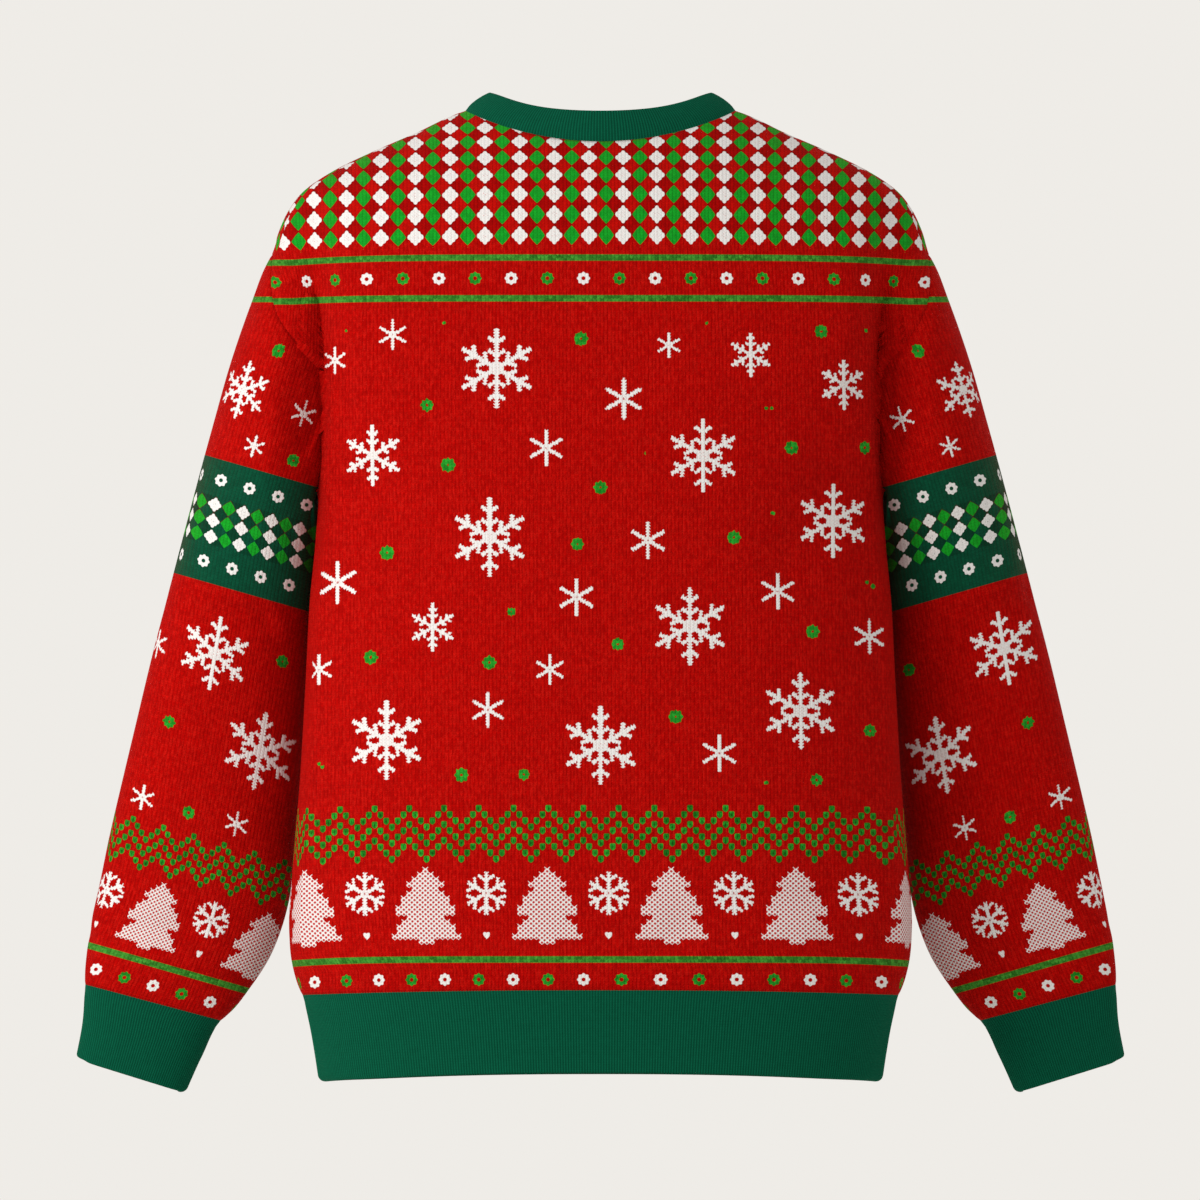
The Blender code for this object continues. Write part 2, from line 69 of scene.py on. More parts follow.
# The body's rings: level at the side, half width, place out and level at centre back and front, squareness.
Ring = namedtuple("Ring", "down half_width back_out back_down front_out front_down squareness")
BODY = (
    Ring(0, 94.5, 60, 21.5, 71, 84, 2.0),
    Ring(7, 111, 66, 26.5, 76, 89, 2.0),
    Ring(14, 125, 70.5, 32, 80, 94, 2.0),
    Ring(28, 157, 78, 42.5, 87, 103, 2.02),
    Ring(42, 186, 84, 53.5, 93, 112, 2.05),
    Ring(56, 207, 88.5, 65, 98, 121, 2.08),
    Ring(70, 218.5, 92, 77, 102, 130, 2.12),
    Ring(84, 225, 95, 89.5, 106, 139, 2.16),
    Ring(101, 230, 98.5, 105, 110, 150, 2.2),
    Ring(118, 237, 101.5, 121, 113.5, 161, 2.22),
    Ring(136, 242, 104, 138.5, 117, 173, 2.24),
    Ring(154, 240.5, 106, 156, 120, 185.5, 2.26),
    Ring(171, 234, 107.5, 172.5, 122, 198, 2.28),
    Ring(188, 225, 109, 189, 123.5, 211, 2.3),
    Ring(206, 216.5, 110, 206.7, 124.5, 224.5, 2.3),
    Ring(226, 209, 110.5, 226.4, 125, 239.5, 2.3),
    Ring(248, 202, 110.5, 248, 125.3, 257, 2.3),
    Ring(268, 198.5, 110, 267, 125, 273, 2.3),
    Ring(300, 199.5, 108.5, 298, 124, 300, 2.3),
    Ring(343, 203.5, 106.5, 340, 122, 341, 2.32),
    Ring(400, 206.5, 105, 397, 119.5, 397, 2.34),
    Ring(469, 210.5, 106.5, 466, 117, 466, 2.36),
    Ring(530, 215.5, 109.5, 527, 115.5, 527, 2.38),
    Ring(574, 218, 111, 571, 114.5, 571, 2.4),
    Ring(597, 216, 109.5, 594, 112.5, 594, 2.4),
    Ring(612, 212, 106.5, 609, 109.5, 609, 2.4),
    Ring(620, 208.7, 104, 616.7, 107, 617, 2.4),
    Ring(638, 204, 101, 634, 104, 634.5, 2.4),
    Ring(660, 200, 99, 655, 102, 655.5, 2.4),
    Ring(680, 197, 98, 673, 101, 674, 2.4),
)

# The armhole seam's reach from the side line, by its turn from the shoulder tip to the underarm.
Turn = namedtuple("Turn", "turn back front")
ARMHOLE = (
    Turn(0, 0, 0),
    Turn(15, 11.5, 12),
    Turn(30, 22, 24),
    Turn(60, 43.5, 46.5),
    Turn(90, 61, 64),
    Turn(105, 55.5, 65),
    Turn(120, 47, 60),
    Turn(150, 26.5, 36),
    Turn(165, 14, 19),
    Turn(180, 0, 0),
)

# The left sleeve's sections: outermost and innermost point, centre and half depth, turn, squareness.
SECTION_COLUMNS = "outer_down outer_x inner_x inner_down centre_y half_depth turned squareness"
Section = namedtuple("Section", SECTION_COLUMNS)
SLEEVE = (
    Section(101, 230, 198.5, 268, 0, 62, 0, 2.0),
    Section(111, 235.2, 199.8, 271, -2, 62.5, 1, 2.0),
    Section(133, 243.3, 199.2, 281, -12, 64.5, 5, 2.02),
    Section(175, 257.3, 198, 296, -25, 65.5, 9, 2.05),
    Section(217, 269.2, 197.5, 311, -35, 64, 10, 2.08),
    Section(259, 280.5, 198, 330, -44, 61.5, 11, 2.1),
    Section(301, 291.6, 199.5, 351, -51, 58.5, 11, 2.12),
    Section(343, 302.8, 200.5, 378, -57, 55, 10, 2.14),
    Section(385, 314, 203, 412, -61, 51, 8, 2.15),
    Section(427, 324.3, 206.5, 455, -64, 46.5, 6, 2.15),
    Section(469, 334.5, 211, 498, -66, 42.5, 4, 2.15),
    Section(511, 344.3, 216, 543, -68, 39, 2, 2.15),
    Section(546, 351.5, 224, 575, -69, 36.5, 1, 2.15),
    Section(567, 356.3, 232, 594, -69.5, 35, 0, 2.15),
    Section(589, 359.5, 245, 614, -70, 31.5, 0, 2.15),
    Section(603, 360.8, 256.5, 629, -70.5, 27.5, 0, 2.15),
    Section(612.5, 361, 266, 638, -71, 24, 0, 2.15),
    Section(637, 362.2, 279, 662, -71.5, 21.5, 0, 2.15),
    Section(663.6, 367, 290.5, 687.4, -72, 20.5, 0, 2.15),
)

# The largest folds, as on the solids.
Fold = namedtuple("Fold", "x0 down0 x1 down1 depth width")
BACK_FOLDS = (
    Fold(207, 70, 190, 205, 9, 15),
    Fold(-206, 78, -191, 200, 8, 15),
    Fold(168, 262, 120, 330, 3.5, 22),
    Fold(-170, 258, -128, 322, 3, 22),
    Fold(150, 560, -40, 585, 3, 17),
    Fold(-60, 570, -185, 545, 2.5, 17),
)
FRONT_FOLDS = (
    Fold(205, 78, 186, 205, 10, 16),
    Fold(-206, 74, -187, 208, 9, 16),
    Fold(165, 265, 95, 345, 4.5, 24),
    Fold(-160, 262, -104, 352, 4, 24),
    Fold(60, 565, -130, 582, 3, 17),
    Fold(190, 540, 95, 572, 2.5, 18),
)
SleeveFold = namedtuple("SleeveFold", "turn0 level0 turn1 level1 depth width")
LEFT_SLEEVE_FOLDS = (
    SleeveFold(128, 215, 62, 292, 1.6, 15),
    SleeveFold(-128, 215, -66, 285, 5, 15),
    SleeveFold(118, 330, 30, 362, 3.5, 14),
    SleeveFold(-20, 356, -112, 330, 4.5, 14),
    SleeveFold(-48, 404, -125, 386, 3.5, 13),
    SleeveFold(92, 560, 12, 582, 3, 11),
    SleeveFold(-18, 566, -100, 576, 3, 11),
)
RIGHT_SLEEVE_FOLDS = (
    SleeveFold(126, 222, 58, 300, 1.6, 15),
    SleeveFold(-130, 212, -60, 290, 5, 15),
    SleeveFold(112, 348, 24, 336, 3.5, 14),
    SleeveFold(-24, 340, -116, 352, 4.5, 14),
    SleeveFold(-40, 392, -122, 408, 3.5, 13),
    SleeveFold(80, 572, 6, 560, 3, 11),
    SleeveFold(-26, 580, -108, 562, 3, 11),
)

# The valley where each sleeve falls away behind the back's edge: its line, its depth there and the width of
# the wall that leads down to it from the torso. A long slope leads up from it over the sleeve.
Valley = namedtuple("Valley", "down x depth wall")
VALLEY = (
    Valley(80, 208, 0, 14),
    Valley(106, 203, 4.5, 12),
    Valley(133, 199, 14, 9),
    Valley(161, 195.8, 25, 5.5),
    Valley(203, 194.6, 30, 4),
    Valley(231, 195, 27, 4),
    Valley(252, 196.7, 19, 4),
    Valley(285, 199, 10, 4),
    Valley(330, 201, 0, 4),
)
VALLEY_SLEEVE_REACH = 38.0
VALLEY_SIDE_FADE = 15.0
VALLEY_SLOPE_POWER = 1.5

# How fine the cloth is: columns, rows, or rows and points round a band, before its rounded edge.
PANEL_COLUMNS = 240
PANEL_CROWDING = 0.4
BODY_ROW = 2.5
ARMHOLE_ROWS = 108
SLEEVE_ROW = 2.6
NECKBAND_LINES = (9, 720)
HEM_LINES = (13, 1440)
CUFF_LINES = (11, 480)
CORNER_LINES = 7
RIB_PITCH = 2.0
NECKBAND_RIB_PITCH = 2.15
RIB_POINTS = 4
RIB_HEIGHT = 0.22
RIB_HEIGHT_AT_SEAM = 0.35
RIB_SEAM_ROWS = 2
RIB_HEIGHT_AT_EDGE = 0.4
RIB_EDGE_ROWS = 5
RIB_LAP = 0.9
EDGE_ROUND = 1.0
EDGE_TURNS = (25, 55, 90, 125, 155)
NECKBAND_CORNER = 3.0
NECKBAND_BLUNT = 1.3
NECKBAND_BLUNT_WIDTH = 16.0
HEM_CORNER = 4.5
CUFF_CORNER = 3.5
CORNER_SHARE = 0.9
CORNER_NARROWNESS = 12
SEAM_DIP = 0.5
SEAM_DIP_WIDTH = 1.7
SEAM_DIP_ROWS = 1.5
# Beside the armhole both sides' normals turn towards shared ones: over how many lines, and how widely.
PANEL_EASE = (6, 2.5)
SLEEVE_EASE = (8, 3)
SHARP_ANGLE = 82

# The pattern. Fabric places are (u, v) in millimetres: u round from the centre, v up from the rib's seam. A
# motif's kind is a name, and a number on the faces that show it.
Motif = namedtuple("Motif", "kind x down size")
KINDS = {
    "large": 1,
    "medium": 2,
    "star": 3,
    "ring": 4,
    "speck": 5,
    "tree_flake": 6,
    "white_flower": 7,
    "heart": 8,
    "green_flower": 9,
}

# A face belongs to the nearest motif within this many times its size, or within this many millimetres.
MOTIF_REACH = 1.6
MOTIF_MARGIN = 3.4


def motif_rows(**rows):
    """Motifs from each kind's rows: x towards the wearer's left, down from the shoulders, and size."""
    return [Motif(kind, *row) for kind, table in rows.items() for row in table]


# Motif places, as seen from the back.
BACK_MOTIFS = motif_rows(
    large=(
        (74, 181, 28.3), (79, 299, 28), (-73, 242, 25.9), (-163, 288, 26.2), (-62, 361, 27.3),
        (-141, 420, 26.9), (149, 440, 28), (-1, 444, 27.6),
    ),
    medium=(
        (160, 242, 21.3), (118, 363, 16.8), (-106, 172, 15.7), (-170, 191, 17.8),
    ),
    star=(
        (145, 157, 10.5), (186, 176, 9.8), (-48, 165, 9.1), (-16, 201, 14.3), (38, 236, 12.6),
        (-32, 301, 13.3), (16, 341, 13.3), (184, 331, 14.7), (-124, 336, 12.6), (-188, 368, 12.2),
        (197, 391, 10.5), (34, 391, 10.8), (78, 421, 12.2), (-83, 451, 12.6),
    ),
    ring=(
        (14, 161, 4.9), (121, 206, 4.4), (107, 248, 5.0), (1, 264, 4.7), (149, 309, 5.0), (17, 304, 4.4),
        (160, 384, 4.9), (77, 386, 4.8), (-12, 375, 4.2), (-52, 424, 4.8), (98, 465, 4.9),
        (54, 465, 3.9), (62, 351, 3.0), (-155, 154, 4.5), (-133, 237, 4.7), (-185, 237, 4.3),
        (-94, 299, 4.7), (-148, 365, 4.7), (-189, 435, 4.3), (-152, 469, 4.2),
    ),
    speck=(
        (178, 154, 1.1), (110, 149, 1.3), (-74, 150, 1.1), (-186, 154, 1.4), (30, 181, 1.1),
        (35, 180, 1.1), (-120, 208, 1.2), (-116, 209, 1.1), (-32, 241, 1.2), (-120, 282, 1.5),
        (-191, 334, 1.6), (-187, 330, 1.2), (-105, 383, 1.3), (-116, 470, 1.5), (-117, 465, 1.1),
        (195, 461, 1.3), (197, 457, 1.2),
    ),
)
LEFT_SLEEVE_MOTIFS = motif_rows(
    large=(
        (251, 196, 18.6), (270, 380, 26.0), (238, 449, 27.0),
    ),
    star=(
        (208, 214, 9.0), (243, 236, 7.8), (310, 374, 10.0), (320, 481, 9.0), (254, 500, 8.7),
    ),
    ring=(
        (224, 169, 4.3), (215, 246, 4.3), (223, 387, 4.3), (302, 428, 4.3), (288, 493, 4.3),
    ),
)
RIGHT_SLEEVE_MOTIFS = motif_rows(
    large=(
        (254, 196, 18.6), (282, 377, 26.0), (238, 451, 27.0),
    ),
    star=(
        (210, 216, 9.0), (245, 236, 7.8), (322, 481, 9.0), (255, 502, 8.7),
    ),
    ring=(
        (223, 169, 4.3), (300, 430, 4.3), (216, 392, 4.3), (287, 495, 4.3),
    ),
)

# The bands above the rib's seam: plain lines, rows of rings, a zigzag, a tree row, a check of diamonds and,
# on the sleeves, a dark band. The values are heights, low and high ends, sizes, pitches and the place round
# of one of each kind; a row of rings is its height and the place of one ring. Columns: the value's name, the
# body's value and the sleeves'.
BANDS = (
    ("lines", (22.9, 486.4, 515.4), (25.9, 493.0, 523.0)),
    ("line_width", 4.6, 4.6),
    ("rings", ((8.6, 11.9), (500.6, 11.9)), ((11.2, 4.8),)),
    ("ring_pitch", 25.3, 20.8),
    ("ring_size", 4.4, 4.2),
    ("zigzag", (93.5, 129.0), (88.6, 119.6)),
    ("zigzag_step", 4.083, 3.68),
    ("zigzag_rise", 4.33, 3.8),
    ("zigzag_start", 10.0, 5.9),
    ("trees", 33.2, 33.7),
    ("tree_height", 53.4, 47.8),
    ("tree_width", 49.5, 43.5),
    ("tree_pitch", 85.8, 76.8),
    ("tree_start", 37.4, 21.5),
    ("flake", 69.4, 66.6),
    ("flake_size", 15.6, 13.6),
    ("stitch", 39.3, 41.0),
    ("check", 531.5, 335.7),
    ("check_from", 523.0, 318.9),
    ("check_to", 900.0, 352.5),
    ("check_across", 24.3, 20.7),
    ("check_up", 15.2, 11.2),
    ("check_start", 8.0, 9.6),
    ("dark", (0.0, 0.0), (293.0, 378.4)),
    ("white_rings", (), ((307.0, 12.0), (364.4, 9.6))),
)
BODY_BANDS, SLEEVE_BANDS = (SimpleNamespace(**{row[0]: row[k] for row in BANDS}) for k in (1, 2))

# A tree's rows of stitches from its foot up: how many lie on each side of the middle one.
TREE_ROWS = (1, 6, 5, 5, 4, 3, 5, 5, 4, 4, 3, 2, 3, 2, 1, 0)
TREE_STITCHES = 13.0

# Snowflakes in shares of their size: half widths of the arms and branches, the hub, where the first pair of
# branches leaves the arm and how long it is, where a notch cuts into the arm's tip, and the second pair.
Flake = namedtuple("Flake", "kind arm branch hub first first_length notch second second_length")
FLAKES = (
    Flake("large", 0.054, 0.047, 0.16, 0.31, 0.225, 1, 0.63, 0.225),
    Flake("medium", 0.060, 0.052, 0.15, 0.38, 0.210, 1, 0.66, 0.170),
    Flake("star", 0.094, 0.080, 0.20, 0.30, 0, 1, 0.60, 0),
    Flake("tree_flake", 0.082, 0.068, 0.17, 0.56, 0.400, 0.90, 0.60, 0),
)
SIN_60 = 0.8660254
TAN_60 = 1.7320508
# A colour ramp holds values from 0 to 1, so kinds and counts are read from it on this scale.
RAMP_SCALE = 0.1
BRANCH_SIDEWAYS = 0.82
BRANCH_ALONG = 0.572
NOTCH_SPREAD = 1.3
# An arm's chain of stitches: turns a millimetre and how much it swells.
CHAIN_TURN = 3.0
CHAIN_SHARE = 0.3
# A snowflake's middle, and the eye of a star, in shares of its size.
HUB_SHARE = 0.16
EYE_SHARE = 0.045

# Rings and flowers, in shares of their size: lobes and how far they stand out, edge and holes.
RING_LOBES = 8.0
RING_LOBE = 0.085
RING_REACH = 0.97
RING_HOLE = 0.18
FLOWER_HOLE = 0.32
# How far from its row a flower or a heart is drawn and how far past its own size a snowflake is, in
# millimetres, and the heart's size and notch.
FLOWER_REACH = 6.5
FLAKE_ROOM_UP = 4
FLAKE_ROOM_ASIDE = 1
HEART_REACH = 5.0
HEART_SIZE = 2.2
HEART_NOTCH = 0.75

# The zigzag: how many steps make one wave, and its dots' size, notch and lift. Their rims of painted shadow
# lie a little outside, and a slit of painted shade runs up each.
ZIGZAG_WAVE = 6
ZIGZAG_DOT = 0.60
ZIGZAG_NOTCH = 0.3
ZIGZAG_LIFT = 0.3
RIM_PLACE = 0.25
RIM_HALF = 0.2
SLIT_NARROWNESS = 2.4
SLIT_HEIGHT = 1.4

# The check, in halves of a diamond: how far white and green diamonds reach, how their edges bulge once along
# their length and lean, the bumps on a white one's edge, and how wide the dark outline of painted shadow is.
WHITE_REACH = 0.92
GREEN_REACH = 0.91
CHECK_TURN = 1.571
CHECK_BUMPS = 9.425
WHITE_BULGE = 0.05
WHITE_LEAN = 0.06
GREEN_BULGE = 0.08
CHECK_OUTLINE = 0.06
CHECK_EDGE = 0.05
CHECK_MIDDLE = 0.45

# How far a motif's edge is drawn to the middles of the stitches, across and up, the gaps in the trees and in
# white shapes, in shares of a stitch, and how soft the lines' edges are, in millimetres.
PULL = (0.25, 0.35)
TREE_GAP = (0.24, 0.26)
TREE_GAP_LIFT = 0.55
WHITE_GAP = (0.2, 0.25)
LINE_EDGE = 0.4

# The ground's stitches and fibres, the rise of a stitch's legs and the courses of the ribs, in millimetres.
FINE_STITCH = (2.6, 2.05)
FIBRE = (0.87, 2.05)
LEG_RISE = 0.9
MEAN_RISE = LEG_RISE * 0.25
RIB_COURSE = 1.9

# How the yarn's colours vary: from which random value a fibre shows and how much, how a green yarn's tone
# follows its speckle and mottle, and how the red marks in the middle of white shapes keep to patches.
FIBRE_FROM = 0.4
FIBRE_SHARE = 0.8
MOTTLE_SCALE = 0.75
GREEN_BY_SPECKLE = 0.55
GREEN_BY_MOTTLE = 0.6
GREEN_LESS = 0.1
PATCH_CONTRAST = 4.0
PATCH_LESS = 1.7
MARK_SHARE = 0.55

# How strongly one colour shows over another, and tones as shares of a colour's brightness. The outlines and
# rims are painted shadow, and the tones of the stitches' sides and rise, of the pale yarn, the slits and the
# ribs are painted shade; the mottle, speckle and dot tones vary at random. A pair is what a field is
# multiplied by and what is added to it.
OUTLINE_SHARE = 0.6
RIM_SHARE = 0.5
GAP_SHARE = 0.95
EYE_DEPTH = 0.75
# Painted shade: a stitch's colour is darker at its sides and ends, in the grooves between stitches.
SIDES_SHADE = 0.24
RISE_SHADE = 0.12
GROOVE_SHADE = 0.75
PALE_SHADE = (0.05, 0.97)
MOTTLE_TONE = (0.2, 0.9)
SPECKLE_TONE = 0.34
# Painted shade in the slit up each zigzag dot.
SLIT_SHADE = 0.55
DOT_TONE = 0.35
# Painted shade of the ribs: darker in the grooves between ribs and between courses.
RIB_SHADE = (0.85, 0.05)
RIB_COURSE_SHADE = (0.14, 0.88)
RIB_MOTTLE = 0.3
RIB_MOTTLE_SCALE = 260.0

# The relief of the stitches: what the rise of a leg and its rounded sides add, and what pale yarn and a
# tree's stitches add; then each material's strength of relief and its depth in metres.
RISE_RELIEF = 0.5
SIDES_RELIEF = 0.7
FINE_RELIEF = 0.8
PALE_RELIEF = 0.4
TREE_RELIEF = 0.3
KNIT_BUMP = (0.6, 0.0006)
RIB_BUMP = (0.5, 0.0004)

# What every cloth material's shader is set to, and the tints of the knit's and the ribs' sheen.
CLOTH_LOOK = {
    "Roughness": 0.9,
    "Specular IOR Level": 0.03,
    "Sheen Weight": 0.06,
    "Sheen Roughness": 0.5,
}
KNIT_SHEEN = (1.0, 0.06, 0.04)
RIB_SHEEN = (0.1, 1.0, 0.6)

RED = (0.365, 0.0009, 0.0003)
FIBRE_RED = (0.46, 0.009, 0.005)
BRIGHT_RED = (0.42, 0.0030, 0.0014)
DARK_RED = (0.31, 0.0012, 0.0008)
# Painted shadow, drawn round the check's diamonds and the zigzag's dots.
SHADOW_RED = (0.09, 0.0008, 0.0006)
WHITE = (0.63, 0.625, 0.62)
BRIGHT_GREEN = (0.0057, 0.285, 0.017)
LINE_GREENS = ((0.010, 0.10, 0.007), (0.062, 0.30, 0.034))
SPOT_GREENS = ((0.006, 0.15, 0.009), (0.022, 0.35, 0.028))
DARK_GREEN = (0.0012, 0.058, 0.028)
DEEP_GREEN = tuple(part * 0.7 for part in DARK_GREEN)
# The ribs' greens: the dark one is painted shade in the grooves, the other is the ridges' own green.
RIB_GREENS = ((0.0006, 0.034, 0.017), (0.0020, 0.092, 0.047))


# The shape, as on the solids.


def column(table, name):
    """One named column of a table, as an array."""
    return np.array([getattr(row, name) for row in table], dtype=float)


def through(table, key, name, at):
    """The value of a column at a place between the rows, on a smooth curve through all of them."""
    xs = column(table, key)
    ys = column(table, name)
    slopes = np.gradient(ys, xs)
    i = np.clip(np.searchsorted(xs, at, side="right") - 1, 0, len(xs) - 2)
    step = xs[i + 1] - xs[i]
    t = (at - xs[i]) / step
    start = ys[i] * (1 + 2 * t) * (1 - t) ** 2 + slopes[i] * step * t * (1 - t) ** 2
    end = ys[i + 1] * t * t * (3 - 2 * t) + slopes[i + 1] * step * t * t * (t - 1)
    return start + end


def body_at(down, *names):
    """Columns of the body's rings at some levels."""
    return [through(BODY, "down", name, down) for name in names]


def between(pairs, at):
    """The value between a table's rows of level and value, on straight lines."""
    return np.interp(at, *zip(*pairs))


def soft_step(share):
    """A share from 0 to 1, eased at both ends."""
    return share**2 * (3 - 2 * share)


def rounded(value, squareness):
    """A cosine or sine, bent from an ellipse's towards a rounded box's."""
    return np.sign(value) * np.abs(value) ** (2.0 / squareness)


def unit(vectors):
    """Vectors brought to length one."""
    return vectors / np.maximum(np.linalg.norm(vectors, axis=-1, keepdims=True), 1e-12)


def fold_depth(x, y, x0, y0, x1, y1, depth, width):
    """How deep a fold presses the cloth at (x, y): a soft trough along a line, fading at its ends."""
    run_x, run_y = x1 - x0, y1 - y0
    length = np.hypot(run_x, run_y)
    along = ((x - x0) * run_x + (y - y0) * run_y) / length**2
    across = ((x - x0) * run_y - (y - y0) * run_x) / length
    ends = np.clip(np.minimum(along, 1 - along) / FOLD_FADE + 1, 0, 1)
    return depth * np.exp(-((across / width) ** 2)) * soft_step(ends)


def valley_depth(x, y, z):
    """How far the valleys between the back and the sleeves press the cloth in towards the side plane."""
    down = np.clip(-z, VALLEY[0].down, VALLEY[-1].down)
    off = np.abs(x) - through(VALLEY, "down", "x", down)
    wall = np.exp(-((np.minimum(off, 0) / through(VALLEY, "down", "wall", down)) ** 2))
    slope = np.clip(1 - np.maximum(off, 0) / VALLEY_SLEEVE_REACH, 0, 1) ** VALLEY_SLOPE_POWER
    depth = np.maximum(through(VALLEY, "down", "depth", down), 0)
    return depth * wall * slope * np.clip(np.abs(y) / VALLEY_SIDE_FADE, 0, 1) * np.sign(y)


def body_form(down, angle):
    """Points of the body without its valleys, at some levels and at angles from the left side."""
    cos, sin = np.cos(angle), np.sin(angle)
    at_back = sin >= 0
    half_width, squareness = body_at(down, "half_width", "squareness")
    out = np.where(at_back, *body_at(down, "back_out", "front_out"))
    centre = np.where(at_back, *body_at(down, "back_down", "front_down"))
    curve = BODY_CURVE + (np.where(at_back, *NECKLINE_CURVE) - BODY_CURVE) * np.exp(-down / NECKLINE_FADE)
    x = half_width * rounded(cos, squareness)
    y = out * rounded(sin, squareness)
    level = down + (centre - down) * np.abs(sin) ** curve
    outward_x = np.abs(x / half_width) ** (squareness - 1) / half_width * np.sign(cos)
    outward_y = np.abs(y / out) ** (squareness - 1) / out * np.sign(sin)
    size = np.hypot(outward_x, outward_y)
    back = sum(fold_depth(x, level, *fold) for fold in BACK_FOLDS)
    front = sum(fold_depth(x, level, *fold) for fold in FRONT_FOLDS)
    pressed = np.where(at_back, back, front) * np.clip(np.abs(y) / FOLD_SIDE_FADE, 0, 1)
    return np.stack([x - pressed * outward_x / size, y - pressed * outward_y / size, -level], axis=-1)


def with_valley(points, middle_y):
    """Points pressed in where the valleys run, towards a middle place from the back to the front."""
    drop = valley_depth(points[..., 0], points[..., 1] - middle_y, points[..., 2])
    return points - drop[..., None] * np.array([0, 1, 0])


def body_point(down, angle):
    """Points of the body, in millimetres, at some levels and at angles from the left side."""
    return with_valley(body_form(down, angle), 0)


def armhole_level(turn):
    """The level of the armhole seam at a turn in degrees from the shoulder tip to the underarm."""
    return SHOULDER_TIP + (UNDERARM - SHOULDER_TIP) * (1 - np.cos(np.radians(turn))) / 2


def armhole_angle(turn, panel):
    """The angle round the body at which a panel ends, at the armhole."""
    down = armhole_level(turn)
    reach = through(ARMHOLE, "turn", panel, turn)
    out, squareness = body_at(down, panel + "_out", "squareness")
    return np.arcsin(np.clip(reach / out, 0, 1) ** (squareness / 2))


def section_point(level, turn):
    """Points of the left sleeve or cuff, by the level of their outermost point and the turn round it."""
    cos, sin = np.cos(turn), np.sin(turn)
    at = {name: through(SLEEVE, "outer_down", name, level) for name in Section._fields[1:]}
    squareness = at["squareness"]
    across_x, across_z = (at["outer_x"] - at["inner_x"]) / 2, (at["inner_down"] - level) / 2
    x = (at["outer_x"] + at["inner_x"]) / 2 + across_x * rounded(cos, squareness) + at["turned"] * sin
    z = -(level + at["inner_down"]) / 2 + across_z * rounded(cos, squareness)
    y = at["centre_y"] + at["half_depth"] * rounded(sin, squareness)
    return np.stack([x, y, z], axis=-1)


def armhole_form(turn, side):
    """Points of the armhole seam without its valley, shown on the left, by their turn round the sleeve."""
    degrees = np.degrees(np.abs(turn))
    at_back = turn >= 0
    angle = np.where(at_back, armhole_angle(degrees, "back"), armhole_angle(degrees, "front"))
    angle = angle if side > 0 else np.pi - angle
    return body_form(armhole_level(degrees), np.where(at_back, angle, -angle)) * (side, 1, 1)


def sleeve_point(level, turn, side):
    """Points of a sleeve, shown on the left: its section, eased from the armhole at the top, with folds."""
    folds = LEFT_SLEEVE_FOLDS if side > 0 else RIGHT_SLEEVE_FOLDS
    point = section_point(level, turn)
    centre = (section_point(level, turn * 0) + section_point(level, turn * 0 + np.pi)) / 2
    t = np.clip((level - SHOULDER_TIP) / (SLEEVE_CAP_END - SHOULDER_TIP), 0, 1)
    cap = (1 - soft_step(t))[..., None]
    seam = armhole_form(turn, side) - section_point(turn * 0 + SHOULDER_TIP, turn)
    point = point + cap * seam
    radius = np.linalg.norm(section_point(level, turn * 0 + np.pi / 2) - centre, axis=-1)
    pressed = sum(
        fold_depth(turn * radius, level, np.radians(f[0]) * radius, f[1], np.radians(f[2]) * radius, *f[3:])
        for f in folds
    )
    point = point - unit(point - centre) * pressed[..., None] * (1 - cap)
    return with_valley(point, centre[..., 1] * (1 - cap[..., 0]))


def outward(surface, first, second, first_step=0.2, second_step=2e-4):
    """The outward normals of a surface given by two coordinates."""
    along = surface(first + first_step, second) - surface(first - first_step, second)
    round_it = surface(first, second + second_step) - surface(first, second - second_step)
    return unit(np.cross(along, round_it))


# The grids of fine points: rows of (x, y, z) in millimetres, with their outward normals.


def panel_rows():
    """The rows of a panel from the hem seam to the neckline: levels and, at the armhole, turns."""
    below = np.linspace(HEM_SEAM, UNDERARM, int((HEM_SEAM - UNDERARM) / BODY_ROW) // 2 * 2)[:-1]
    turns = np.linspace(180, 0, ARMHOLE_ROWS + 1)
    above = np.linspace(SHOULDER_TIP, 0, int(SHOULDER_TIP / BODY_ROW) // 2 * 2 + 2)[1:]
    return below, turns, above


def panel_grid(panel):
    """A panel's grid of levels and angles, from the wearer's left side to the right."""
    below, turns, above = panel_rows()
    levels = np.concatenate([below, armhole_level(turns), above])
    edges = np.concatenate([below * 0, armhole_angle(turns, panel), above * 0])
    share = np.linspace(0, 1, PANEL_COLUMNS + 1)[None, :]
    share = share - PANEL_CROWDING * np.sin(2 * np.pi * share) / (2 * np.pi)
    angles = edges[:, None] + (np.pi - 2 * edges[:, None]) * share
    levels = np.broadcast_to(levels[:, None], angles.shape).copy()
    return levels, angles if panel == "back" else -angles


def sleeve_grid():
    """A sleeve's grid of levels and turns, from the armhole seam to the cuff seam."""
    half = np.radians(np.linspace(0, 180, ARMHOLE_ROWS + 1))
    turns = np.concatenate([half, -half[-2:0:-1]])
    levels = np.linspace(SHOULDER_TIP, CUFF_SEAM, int((CUFF_SEAM - SHOULDER_TIP) / SLEEVE_ROW) // 2 * 2 + 1)
    return tuple(np.meshgrid(levels, turns, indexing="ij"))


# Fabric places.

# How the pattern droops towards the sides, as rows of level and value: by how much there, and by which
# power of the way out.
DROOPS = ((0, 4.5), (90, 4.5), (103, 3.0), (132, 1.6), (600, 2.2), (680, 2.2))
DROOP_POWERS = ((0, 2.4), (90, 2.4), (103, 5), (132, 6), (680, 6))
DROOP_AT = 205.0
DROOP_MOST = 1.05

# Heights are measured on the line this far beside the middle, in this many steps.
HEIGHT_AT = 60.0
HEIGHT_STEPS = 900

